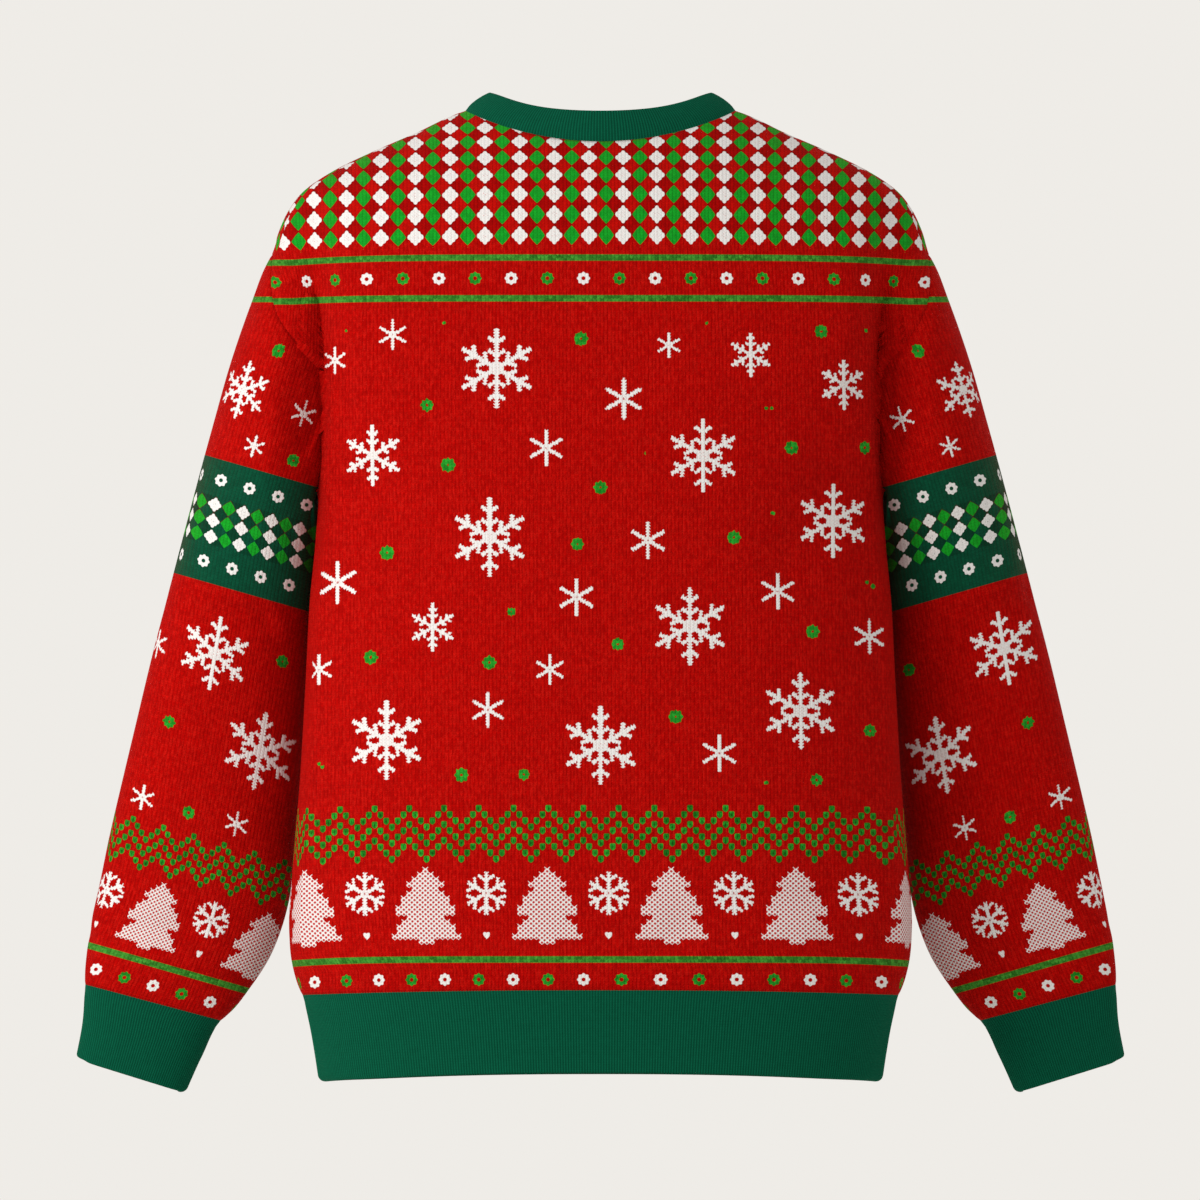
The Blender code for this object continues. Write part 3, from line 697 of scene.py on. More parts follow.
# How much more cloth than width there is towards the sides, where the cloth is drawn in, as rows of level
# and amount: in millimetres past the yoke's plain part, and as a share of the half width lower down.
YOKE_SPREADS = ((0, 0), (92, 3.8), (112, 9), (121, 12), (160, 8), (300, 8))
SIDE_SPREADS = ((0, 0), (300, 0.01), (480, 0.008), (560, 0.008), (592, 0.03), (603, 0.075), (680, 0.08))
# How much wider or narrower the pattern lies on the wearer's right than on the left.
RIGHT_SHARES = (
    (0, 1.03),
    (87, 1.028),
    (119, 1.01),
    (160, 1.0),
    (450, 0.98),
    (550, 0.976),
    (590, 0.955),
    (603, 0.905),
    (680, 0.905),
)
YOKE_PLAIN = 165.0
YOKE_OVER = 60.0
YOKE_BLEND = 40.0
# The share of the half width past which the pattern follows the cloth round the body's side, and the level
# above which it follows it over the shoulder instead.
TURN_AT = 0.965
YOKE_TURN_AT = 0.985
TURN_STRETCH = 1.03
SHOULDER_END = 85.0
SHOULDER_FADE = 45.0


def height_table():
    """How far up the back each level lies above the hem seam, measured on the cloth."""
    downs = np.linspace(HEM_SEAM, 0, HEIGHT_STEPS)
    half_width, squareness = body_at(downs, "half_width", "squareness")
    angles = np.arccos(np.clip(HEIGHT_AT / half_width, 0, 1) ** (squareness / 2))
    line = body_point(downs, angles)
    steps = np.hypot(np.diff(line[:, 1]), np.diff(line[:, 2]))
    return line[:, 2], np.concatenate([[0], np.cumsum(steps)])


def body_fabric(points):
    """The fabric places of points of the body."""
    x, y, z = points[..., 0], points[..., 1], points[..., 2]
    down = np.clip(-z, 0, HEM_END)
    levels, heights = height_table()
    amount, power = between(DROOPS, down), between(DROOP_POWERS, down)
    level = z + amount * np.minimum(np.abs(x) / DROOP_AT, DROOP_MOST) ** power
    top = (heights[-1] - heights[-9]) / (levels[-1] - levels[-9])
    v = np.interp(level, levels, heights) + np.maximum(level - levels[-1], 0) * top
    v = v + np.minimum(level - levels[0], 0)
    half_width, squareness = body_at(down, "half_width", "squareness")
    out = np.where(y > 0, *body_at(down, "back_out", "front_out"))
    t = np.abs(x) / half_width
    blend = soft_step(np.clip((UNDERARM + YOKE_BLEND - down) / (2 * YOKE_BLEND), 0, 1))
    turn_at = TURN_AT + (YOKE_TURN_AT - TURN_AT) * blend
    flat = np.minimum(t, turn_at)
    drawn = np.clip((half_width * t - YOKE_PLAIN) / YOKE_OVER, 0, 1)
    yoke = half_width * t + between(YOKE_SPREADS, down) * soft_step(drawn)
    broad = half_width * (flat + between(SIDE_SPREADS, down) * flat**2)
    turn_out = out * (1 - turn_at**squareness) ** (1 / squareness)
    past = np.hypot(turn_out, half_width * (1 - turn_at)) - np.hypot(y, half_width * (1 - t))
    on_shoulder = np.clip((SHOULDER_END - down) / SHOULDER_FADE, 0, 1)
    past = np.where(t > turn_at, np.maximum(past, 0) * (1 - on_shoulder), 0)
    u = broad * (1 - blend) + yoke * blend + past * TURN_STRETCH
    v = v + on_shoulder * np.where(t > turn_at, np.maximum(turn_out - np.abs(y), 0), 0)
    u = u * np.where(x < 0, between(RIGHT_SHARES, down), 1)
    return np.stack([np.sign(x) * u, v, x * 0], axis=-1)


# The sleeve's axis: its tilt, and how far up it the cuff seam lies from the origin.
SLEEVE_TILT = np.radians(16.0)
CUFF_SEAM_ALONG = 686.8
# Where the pattern begins to follow the cloth round the sleeve's outer and inner line, as a share of the way
# out, and over which further share.
OUTER_TURN = (0.88, 0.06)
INNER_TURN = (0.97, 0.03)
# Near the armhole the bands lie level with the body's: from which level up, and over which depth.
CAP_LINE_DOWN = 132.6
CAP_LINE_HEIGHT = 493.0
CAP_LINE_STRETCH = 1.176
CAP_LEVEL_FROM = 215.0
CAP_LEVEL_OVER = 80.0


def sleeve_place(points):
    """How far across the sleeve and how far above the cuff seam points lie, square to the sleeve's axis."""
    x, z = points[..., 0], points[..., 2]
    across = x * np.cos(SLEEVE_TILT) + z * np.sin(SLEEVE_TILT)
    up = CUFF_SEAM_ALONG - x * np.sin(SLEEVE_TILT) + z * np.cos(SLEEVE_TILT)
    return across, up


def sleeve_fabric(points):
    """The fabric places of a sleeve's rings, shown on the left: u is 0 at the middle of its back."""
    across, up = sleeve_place(points)
    levels = column(SLEEVE, "outer_down")
    outer_across, outer_up = sleeve_place(section_point(levels, levels * 0))
    inner_across, inner_up = sleeve_place(section_point(levels, levels * 0 + np.pi))
    outer = np.interp(up, outer_up[::-1], outer_across[::-1])
    inner = np.interp(up, inner_up[:2:-1], inner_across[:2:-1])
    middle = (outer + inner) / 2
    low, high = across.min(axis=1, keepdims=True), across.max(axis=1, keepdims=True)
    out = (2 * across - high - low) / (high - low)
    turned = np.clip((out - OUTER_TURN[0]) / OUTER_TURN[1], 0, 1)
    turned = turned + np.clip((-out - INNER_TURN[0]) / INNER_TURN[1], 0, 1)
    turned = soft_step(turned)
    next_y, next_turned, next_across = (np.roll(k, -1, axis=1) for k in (points[..., 1], turned, across))
    steps = np.hypot(next_across - across, (next_y - points[..., 1]) * (turned + next_turned) / 2)
    runs = np.cumsum(steps, axis=1) - steps
    whole = np.broadcast_to(steps.sum(axis=1, keepdims=True), across.shape)
    at_front = (np.arange(across.shape[1]) > ARMHOLE_ROWS)[None, :]
    half_way = ARMHOLE_ROWS // 2
    u = runs[:, half_way, None] - runs + across[:, half_way, None]
    u = u + np.where(at_front, whole + middle - 2 * middle[:, :1], -middle)
    level = CAP_LINE_HEIGHT + (points[..., 2] + CAP_LINE_DOWN) * CAP_LINE_STRETCH
    cap = np.clip((points[..., 2] + CAP_LEVEL_FROM) / CAP_LEVEL_OVER, 0, 1)
    up = up + (level - up) * soft_step(cap)
    return np.stack([u, up, whole], axis=-1)


# Meshes.


def grid_faces(rows, columns, closed, start=0):
    """The four-sided faces of a grid of points, as an array."""
    i = np.arange(rows - 1)[:, None]
    j = np.arange(columns if closed else columns - 1)[None, :]
    k = (j + 1) % columns
    low, high = i * columns, (i + 1) * columns
    faces = np.stack(np.broadcast_arrays(low + j, low + k, high + k, high + j), axis=-1)
    return faces.reshape(-1, 4) + start


def seam_distance(points, closed):
    """How far each point of a grid lies from the grid's edges, along its rows and columns."""
    down = np.linalg.norm(np.diff(points, axis=0), axis=-1)
    first = np.concatenate([np.zeros((1, points.shape[1])), np.cumsum(down, axis=0)])
    distance = np.minimum(first, first[-1:] - first)
    if not closed:
        along = np.linalg.norm(np.diff(points, axis=1), axis=-1)
        first = np.concatenate([np.zeros((points.shape[0], 1)), np.cumsum(along, axis=1)], axis=1)
        distance = np.minimum(distance, np.minimum(first, first[:, -1:] - first))
    return distance


def rim_lines(rows, columns, closed):
    """The edge lines of a grid, as point numbers in order, each from the grid's first column."""
    if closed:
        back = np.concatenate([[0], np.arange(columns - 1, 0, -1)])
        return [np.arange(columns), back + (rows - 1) * columns]
    up = np.arange(1, rows) * columns
    last = (rows - 1) * columns + np.arange(columns - 2, -1, -1)
    return [np.concatenate([np.arange(columns), up + columns - 1, last, up[-2::-1]])]


def wall_faces(rows, columns, closed):
    """The quads and triangles of a wall with a fine outside and half as many points inside each way."""
    in_rows = (rows + 1) // 2
    in_columns = columns // 2 if closed else (columns + 1) // 2
    start = rows * columns
    quads = grid_faces(rows, columns, closed)
    inside = grid_faces(in_rows, in_columns, closed, start)[:, ::-1]
    triangles = []
    for fine, coarse in zip(rim_lines(rows, columns, closed), rim_lines(in_rows, in_columns, closed)):
        a, middle, b = fine[::2], fine[1::2], np.roll(fine[::2], -1)
        c = coarse + start
        d = np.roll(c, -1)
        triangles += [np.stack(t, axis=-1) for t in ((middle, a, c), (b, middle, d), (d, middle, c))]
    return np.concatenate([quads, inside]), np.concatenate(triangles)


def placed(name, data):
    """A new object of the scene."""
    thing = bpy.data.objects.new(name, data)
    bpy.context.scene.collection.objects.link(thing)
    return thing


def make_mesh(name, points, quads, triangles, flip):
    """An object from its points in millimetres and its faces."""
    faces = [tuple(f) for f in quads.tolist()] + [tuple(f) for f in triangles.tolist()]
    if flip:
        faces = [f[::-1] for f in faces]
    mesh = bpy.data.meshes.new(name)
    mesh.from_pydata(points * MM, [], faces)
    mesh.shade_smooth()
    mesh.set_sharp_from_angle(angle=np.radians(SHARP_ANGLE))
    return placed(name, mesh)


def read_all(collection, name, width=1, kind=np.int32):
    """A property of every item of a mesh's collection, as an array."""
    values = np.zeros(len(collection) * width, dtype=kind)
    collection.foreach_get(name, values)
    return values if width == 1 else values.reshape(-1, width)


def write_attribute(thing, name, domain, values):
    """Writes a number or a vector for each point, corner or face of a mesh."""
    number = values.ndim == 1
    attribute = thing.data.attributes.new(name, "FLOAT" if number else "FLOAT_VECTOR", domain)
    attribute.data.foreach_set("value" if number else "vector", values.astype(np.float32).ravel())


def set_fabric(thing, fabric, wraps):
    """Writes each face corner's fabric place, past a tube's end over its seam; gives each face's middle."""
    places = fabric[read_all(thing.data.loops, "vertex_index")]
    starts = read_all(thing.data.polygons, "loop_start")
    counts = np.diff(np.append(starts, len(places)))
    if wraps:
        high = np.maximum.reduceat(places[:, 0], starts)
        low = np.minimum.reduceat(places[:, 0], starts)
        whole = places[:, 2]
        over = np.repeat(high - low, counts) > whole / 2
        near_low = places[:, 0] < np.repeat((high + low) / 2, counts)
        places[:, 0] += np.where(over & near_low, whole, 0)
    places[:, 2] = 0
    write_attribute(thing, "fabric", "CORNER", places)
    return np.add.reduceat(places, starts) / counts[:, None]


def set_motifs(thing, centres, middles):
    """Writes each face's motif: the nearest one's place, kind and size."""
    nearest = np.full(len(middles), np.inf)
    chosen = np.zeros((len(middles), 4))
    for centre in centres:
        u, v, _, size = centre
        distance = np.hypot(middles[:, 0] - u, middles[:, 1] - v) / size
        better = (distance < nearest) & (distance < max(MOTIF_REACH, MOTIF_MARGIN / size))
        nearest = np.where(better, distance, nearest)
        chosen[better] = centre
    write_attribute(thing, "motif", "FACE", chosen[:, :3])
    write_attribute(thing, "motif_size", "FACE", chosen[:, 3])


def motif_centres(motifs, points, fabric, facing, side=1):
    """The fabric places of motifs given by where they are seen, on the points that face the viewer."""
    seen, places = points[facing], fabric[facing]
    centres = []
    for motif in motifs:
        far = np.hypot(seen[:, 0] - side * motif.x, seen[:, 2] + motif.down)
        k = int(np.argmin(far))
        if far[k] <= motif.size:
            centres.append((*places[k, :2], KINDS[motif.kind], motif.size))
    return centres


def add_wall(name, points, normals, fabric, closed, side, flip):
    """A fine wall on a grid of outer points, with its fabric places, and the middle place of each face."""
    dip = SEAM_DIP * np.exp(-((seam_distance(points, closed) / SEAM_DIP_WIDTH) ** 2))
    outer = points - normals * dip[..., None]
    inner = (outer - normals * KNIT_WALL)[::2, ::2]
    every = np.concatenate([outer.reshape(-1, 3), inner.reshape(-1, 3)]) * (side, 1, 1)
    both = np.concatenate([fabric.reshape(-1, 3), fabric[::2, ::2].reshape(-1, 3)])
    thing = make_mesh(name + "_cloth", every, *wall_faces(*points.shape[:2], closed), flip)
    return thing, set_fabric(thing, both, closed)


def from_axis(normals, points):
    """Normals of the body turned to point away from its axis."""
    return normals * np.sign(np.sum(normals * points * (1, 1, 0), axis=-1, keepdims=True))


def eased(normals, shared, k, reach):
    """The normals k lines away from a seam, turned towards those that both sides of the seam share."""
    share = np.exp(-((k / reach) ** 2))
    return unit(normals * (1 - share) + shared * share)


def add_panel(panel, armhole_normals):
    """The back or the front: a fine wall on the panel's form."""
    levels, angles = panel_grid(panel)
    points = body_point(levels, angles)
    normals = from_axis(outward(body_point, levels, angles), points)
    below = len(panel_rows()[0])
    rows = slice(below, below + ARMHOLE_ROWS + 1)
    lines, reach = PANEL_EASE
    for k in range(lines):
        for line, side in ((k, 1), (-1 - k, -1)):
            normals[rows, line] = eased(normals[rows, line], armhole_normals[panel, side], k, reach)
    fabric = body_fabric(points)
    thing, middles = add_wall(panel, points, normals, fabric, False, 1, panel == "back")
    everywhere = np.ones(points.shape[:2], dtype=bool)
    side = 1 if panel == "back" else -1
    set_motifs(thing, motif_centres(BACK_MOTIFS, points, fabric, everywhere, side), middles)
    return thing


def sleeve_normals(levels, turns, side):
    """The outward normals of a sleeve, shown on the left."""

    def surface(level, turn):
        return sleeve_point(np.maximum(level, SHOULDER_TIP), turn, side)

    normals = outward(surface, levels, turns)
    centre = (section_point(levels, turns * 0) + section_point(levels, turns * 0 + np.pi)) / 2
    toward = np.sum(normals * (sleeve_point(levels, turns, side) - centre), axis=-1, keepdims=True)
    return normals * np.sign(toward)


def shared_armhole_normals():
    """The normals along each armhole seam, between the panel's and the sleeve's, by panel and side."""
    degrees = np.linspace(180, 0, ARMHOLE_ROWS + 1)
    levels = armhole_level(degrees)
    shared = {}
    for panel, sign in (("back", 1), ("front", -1)):
        for side in (1, -1):
            turns = np.radians(degrees) * sign
            sleeve = sleeve_normals(turns * 0 + SHOULDER_TIP + 0.2, turns, side) * (side, 1, 1)
            angle = armhole_angle(degrees, panel) * sign
            angle = angle if side > 0 else np.pi * sign - angle
            body = from_axis(outward(body_point, levels, angle), body_point(levels, angle))
            shared[panel, side] = unit(body + sleeve)
    return shared


def add_sleeve(name, side, armhole_normals):
    """A sleeve: a fine tube on its form, from the armhole to the cuff."""
    levels, turns = sleeve_grid()
    points = sleeve_point(levels, turns, side)
    normals = sleeve_normals(levels, turns, side)
    back, front = (armhole_normals[panel, side][::-1] * (side, 1, 1) for panel in ("back", "front"))
    seam = np.concatenate([back, front[-2:0:-1]])
    lines, reach = SLEEVE_EASE
    for k in range(lines):
        normals[k] = eased(normals[k], seam, k, reach)
    fabric = sleeve_fabric(points)
    thing, middles = add_wall(name, points, normals, fabric, True, side, side > 0)
    motifs = LEFT_SLEEVE_MOTIFS if side > 0 else RIGHT_SLEEVE_MOTIFS
    centres = motif_centres(motifs, points, fabric, normals[..., 1] > 0)
    centres += motif_centres(motifs, points, fabric, normals[..., 1] < 0)
    set_motifs(thing, centres, middles)
    return thing


# Ribbed bands: the neckband, the hem and the cuffs.


def evenly(values, places, count):
    """Values round a closed line, whose running lengths are given, read at even lengths."""
    at = np.arange(count) * places[-1] / count
    closed = np.concatenate([values, values[:1]])
    return np.stack([np.interp(at, places, closed[:, k]) for k in range(closed.shape[1])], axis=-1)


def add_rib(name, outer_rows, normal_rows, pitch):
    """A ribbed tube: rows of points from its seam to its free edge, ribs raised on it, a plain inside."""
    first = outer_rows[0]
    steps = np.linalg.norm(np.roll(first, -1, axis=0) - first, axis=-1)
    places = np.concatenate([[0], np.cumsum(steps)])
    count = int(round(places[-1] / pitch)) * RIB_POINTS
    ridge = 0.5 + 0.5 * np.cos(2 * np.pi * (np.arange(count) % RIB_POINTS) / RIB_POINTS)
    rows = np.array([evenly(row, places, count) for row in outer_rows])
    normals = np.array([unit(evenly(row, places, count)) for row in normal_rows])
    from_seam = np.arange(len(rows))
    share = from_seam / (len(rows) - 1)
    relief = np.clip(share * len(rows) / RIB_SEAM_ROWS, RIB_HEIGHT_AT_SEAM, 1)
    relief = relief * np.clip((1 - share) * len(rows) / RIB_EDGE_ROWS + RIB_HEIGHT_AT_EDGE, 0, 1)
    outer = rows + normals * (ridge * RIB_HEIGHT)[None, :, None] * relief[:, None, None]
    outer -= normals * (SEAM_DIP * np.exp(-((from_seam / SEAM_DIP_ROWS) ** 2)))[:, None, None]
    down = unit(rows[-1] - rows[-2])
    ridge_end = (ridge * RIB_HEIGHT * RIB_HEIGHT_AT_EDGE)[:, None]
    edge = []
    for turn in np.radians(EDGE_TURNS):
        out = np.cos(turn) * (EDGE_ROUND + ridge_end * (np.cos(turn) > 0)) - EDGE_ROUND
        edge.append(rows[-1] + normals[-1] * out + down * np.sin(turn) * EDGE_ROUND)
    inner = (rows - normals * RIB_WALL)[::-1]
    profile = np.concatenate([outer, np.array(edge), inner[1::2]])
    closed = np.concatenate([profile, profile[:1]])
    quads = grid_faces(len(closed), count, True) % (len(profile) * count)
    thing = make_mesh(name + "_cloth", profile.reshape(-1, 3), quads, np.zeros((0, 3), int), False)
    lengths = np.linalg.norm(np.diff(profile, axis=0), axis=-1).mean(axis=1)
    along = np.concatenate([[0], np.cumsum(lengths)])
    write_attribute(thing, "ridge", "POINT", np.broadcast_to(ridge, profile.shape[:2]).ravel())
    write_attribute(thing, "along", "POINT", np.broadcast_to(along[:, None], profile.shape[:2]).ravel())
    return thing


def facing_out(thing):
    """Turns a closed piece's faces over if they look inwards."""
    mesh = thing.data
    mesh.calc_loop_triangles()
    points = read_all(mesh.vertices, "co", 3, np.float64)
    a, b, c = points[read_all(mesh.loop_triangles, "vertices", 3)].transpose(1, 0, 2)
    if np.sum(np.einsum("ij,ij->i", np.cross(a, b), c)) < 0:
        mesh.flip_normals()


def rib_levels(start, end, count, radius):
    """Levels along a rib, even at first and closer together near its rounded edge."""
    even = np.linspace(start, end - radius, count)
    corner = np.sin(np.linspace(0, np.pi / 2, CORNER_LINES)[1:])
    return np.concatenate([even, end - radius + radius * corner])


def turns_round(count):
    """Even turns round a closed line, from 0 up to half a turn and on from minus half a turn."""
    turns = np.linspace(0, 2 * np.pi, count + 1)[:-1]
    return np.where(turns > np.pi, turns - 2 * np.pi, turns)


def neckband_rows():
    """The neckband's rows and normals, from the neckline up and in towards the neck."""
    count, points_round = NECKBAND_LINES
    angles = turns_round(points_round)
    neckline = body_point(angles * 0.0, angles)
    around = unit(neckline * (1, 1, 0))
    side = around[:, :1] ** 2
    at_back = neckline[:, 1:2] > 0
    lean_in = NECKBAND_SIDE_LEAN * side + np.where(at_back, *NECKBAND_LEAN) * (1 - side)
    rise = NECKBAND_SIDE_RISE * side + np.where(at_back, *NECKBAND_RISE) * (1 - side)
    upward = np.array([0, 0, 1])
    direction = unit(upward * rise - around * lean_in)
    out = unit(around * rise + upward * lean_in)
    height = NECKBAND_HEIGHT - NECKBAND_BLUNT * np.exp(-((neckline[:, 1:2] / NECKBAND_BLUNT_WIDTH) ** 2))
    share = rib_levels(-RIB_LAP, NECKBAND_HEIGHT, count, NECKBAND_CORNER)[:, None, None] / NECKBAND_HEIGHT
    rows = neckline + direction * height * share + out * NECKBAND_BULGE * 4 * share * (1 - share)
    return rows, np.broadcast_to(out, rows.shape)


def hem_rows():
    """The hem rib's rows and normals, from the hem seam down, rounded at its lower corners."""
    count, points_round = HEM_LINES
    levels = rib_levels(HEM_SEAM - RIB_LAP, HEM_END, count, HEM_CORNER)
    grid = np.meshgrid(levels, turns_round(points_round), indexing="ij")
    rows = body_point(*grid)
    return rounded_corner(rows, HEM_CORNER), from_axis(outward(body_point, *grid), rows)


def cuff_rows(side):
    """A cuff's rows and normals, from the cuff seam down, rounded at its lower corners."""
    count, points_round = CUFF_LINES
    levels = rib_levels(CUFF_SEAM - RIB_LAP, CUFF_END, count, CUFF_CORNER)
    grid = np.meshgrid(levels, turns_round(points_round), indexing="ij")
    rows = rounded_corner(sleeve_point(*grid, side), CUFF_CORNER)
    return rows * (side, 1, 1), sleeve_normals(*grid, side) * (side, 1, 1)


def rounded_corner(rows, radius):
    """Rows whose last ones draw in sideways at the two sides, so that the corners are round."""
    away = rows[..., 0] - rows[..., 0].mean(axis=1, keepdims=True)
    reach = np.abs(away).max(axis=1, keepdims=True)
    left = np.linalg.norm(rows[-1] - rows, axis=-1)
    t = np.clip(1 - left / radius, 0, 1)
    draw = radius * (1 - np.sqrt(1 - t * t)) * CORNER_SHARE * (np.abs(away) / reach) ** CORNER_NARROWNESS
    return rows - np.stack([np.sign(away) * draw, away * 0, away * 0], axis=-1)


# Materials.


def add_node(tree, kind, inputs, **settings):
    """A new node, with its settings and with a value, a socket or a field for each of some inputs."""
    node = tree.nodes.new("ShaderNode" + kind)
    for name, value in settings.items():
        setattr(node, name, value)
    for name, value in inputs.items():
        value = getattr(value, "socket", value)
        if isinstance(value, bpy.types.NodeSocket):
            tree.links.new(value, node.inputs[name])
        else:
            node.inputs[name].default_value = value
    return node


def math_method(operation, swapped=False):
    """A method that adds one Math node for a field and another number or field."""

    def method(self, *others):
        return self.of(operation, *others, swapped=swapped)

    return method


class Field:
    """A number at every point of a surface, with arithmetic that adds nodes to its material."""

    def __init__(self, tree, socket):
        self.tree = tree
        self.socket = socket

    def of(self, operation, *others, clamp=False, swapped=False):
        """What a Math node makes of this field and others, or of the others and this field."""
        values = (*others, self) if swapped else (self, *others)
        node = add_node(self.tree, "Math", dict(enumerate(values)), operation=operation, use_clamp=clamp)
        return Field(self.tree, node.outputs[0])

    __add__ = __radd__ = math_method("ADD")
    __sub__ = math_method("SUBTRACT")
    __rsub__ = math_method("SUBTRACT", swapped=True)
    __mul__ = math_method("MULTIPLY")
    __truediv__ = math_method("DIVIDE")
    size = math_method("ABSOLUTE")
    whole = math_method("FLOOR")
    part = math_method("FRACT")
    least = math_method("MINIMUM")
    most = math_method("MAXIMUM")
    above = math_method("GREATER_THAN")
    below = math_method("LESS_THAN")

    def within(self, soft=0.35):
        """1 where a distance is below 0, 0 where it is above, over a soft edge."""
        return self.of("MULTIPLY_ADD", -1.0 / soft, 0.5, clamp=True)

    def near(self, value, reach=0.5):
        """1 where the number lies within reach of a value."""
        return (self - value).size().below(reach)

    def swell(self, power):
        """1 in the middle of a run from 0 to 1, falling to 0 at its two ends."""
        return 1.0 - ((self - 0.5) * 2.0).of("POWER", power)

    def length(self, other):
        """How far a place lies from the origin."""
        return (self * self + other * other).of("SQRT")

    def scaled(self, times, plus):
        """The number multiplied by one value, with another added."""
        return self * times + plus

    def odd(self):
        """1 for an odd whole number, 0 for an even one."""
        return (self * 0.5).part().above(0.25)

    def wave(self, turn):
        """The cosine of the number times a turn."""
        return (self * turn).of("COSINE")


def parts_of(tree, vector):
    """A vector's three fields."""
    return [Field(tree, socket) for socket in add_node(tree, "SeparateXYZ", {0: vector}).outputs]


def attribute_of(tree, name):
    """A mesh attribute's node."""
    return add_node(tree, "Attribute", {}, attribute_name=name)


def combined(tree, x, y):
    """A vector of two fields."""
    return add_node(tree, "CombineXYZ", {0: x, 1: y}).outputs[0]


def noise(tree, vector, scale, detail):
    """Soft noise between 0 and 1."""
    node = add_node(tree, "TexNoise", {"Scale": scale, "Detail": detail, "Vector": vector})
    return Field(tree, node.outputs[0])


def random_of(tree, x, y):
    """A random number for each different pair of numbers."""
    node = add_node(tree, "TexWhiteNoise", {"Vector": combined(tree, x, y)}, noise_dimensions="3D")
    return Field(tree, node.outputs["Value"])


def stepped(field, stops):
    """The values, three at most, that a table of (start, values) holds from each start on, as fields."""
    node = add_node(field.tree, "ValToRGB", {0: field})
    node.color_ramp.interpolation = "CONSTANT"
    elements = node.color_ramp.elements
    while len(elements) < len(stops):
        elements.new(1.0)
    for element, (position, values) in zip(elements, sorted(stops)):
        element.position = position
        element.color = (*[*values, 0, 0][:3], 1.0)
    return parts_of(field.tree, node.outputs[0])


def mixed(tree, share, under, over):
    """One colour over another, by a share."""
    under, over = ((*colour, 1.0) if isinstance(colour, tuple) else colour for colour in (under, over))
    node = add_node(tree, "Mix", {"Factor": share, 6: under, 7: over}, data_type="RGBA", clamp_factor=True)
    return node.outputs[2]


def toward(value, target, share):
    """A value moved a share of the way to a target."""
    return value + (target - value) * share


def stitches(u, v, size):
    """Where a place lies in its stitch: how far beside its middle, how far up its leg, and its middle."""
    across = u / size[0]
    wale = across.whole()
    beside = (across - wale - 0.5).size()
    along = v / size[1] - beside * LEG_RISE
    course = along.whole()
    middle_u = (wale + 0.5) * size[0]
    middle_v = (course + 0.5 + MEAN_RISE) * size[1]
    return beside, along - course, middle_u, middle_v


def periodic(u, start, pitch):
    """How far a place lies from the nearest of evenly spaced lines, and whether that line is an odd one."""
    place = (u - start) / pitch + 0.5
    number = place.whole()
    return (place - number - 0.5) * pitch, number.odd()


def flake_distance(x, y, size, kind):
    """How far a place lies outside a six-armed snowflake, in shares of its size."""
    x, y = (x / size).size(), (y / size).size()
    over = (x * SIN_60 - y * 0.5).most(0.0)
    side = (x - over * TAN_60).size()
    along = y + over
    key = kind * RAMP_SCALE + 0.01
    tables = ([(KINDS[f.kind] * RAMP_SCALE, f[k : k + 3]) for f in FLAKES] for k in (1, 4, 7))
    arm_sizes, first_branch, second_branch = (stepped(key, table) for table in tables)
    arm, branch, hub = arm_sizes
    first, first_length, notch = first_branch
    second, second_length, _ = second_branch
    past = (along + arm - 1.0).most(0.0)
    distance = past.length(side) - arm * ((along * size).wave(CHAIN_TURN) * CHAIN_SHARE + 1.0)
    distance = distance.most(along - notch - side * NOTCH_SPREAD)
    for place, length in ((first, first_length), (second, second_length)):
        rest = along - place
        reach = side * BRANCH_SIDEWAYS + rest * BRANCH_ALONG
        off = side * BRANCH_ALONG - rest * BRANCH_SIDEWAYS
        past = (reach - length).most(reach * -1.0).most(0.0)
        chain = branch * ((reach * size).wave(CHAIN_TURN) * CHAIN_SHARE + 1.0)
        distance = distance.least(past.length(off) - chain)
    return distance.least(along - hub)


def ring_distance(x, y, size, kind):
    """How far a place lies outside a small ring with eight lobes, or a flower whose hole is larger."""
    radius = x.length(y)
    edge = size * (y.of("ARCTAN2", x).wave(RING_LOBES) * RING_LOBE + RING_REACH)
    hole = size * (kind.near(KINDS["ring"]) * (RING_HOLE - FLOWER_HOLE) + FLOWER_HOLE)
    return (radius - edge).most(hole - radius)


def heart_distance(x, y, size, notch):
    """How far a place lies outside a stitch's heart shape."""
    return x.length(y - x.size() * notch) - size


def dots(across, up, wide, high):
    """Small dots on a staggered grid: 1 inside them."""
    found = None
    for shift in (0.0, 0.5):
        off_u = ((across + shift).part() - 0.5) / wide
        off_v = ((up + shift).part() - 0.5) / high
        here = off_u * off_u + off_v * off_v
        found = here if found is None else found.least(here)
    return (found - 1.0).within(0.9)


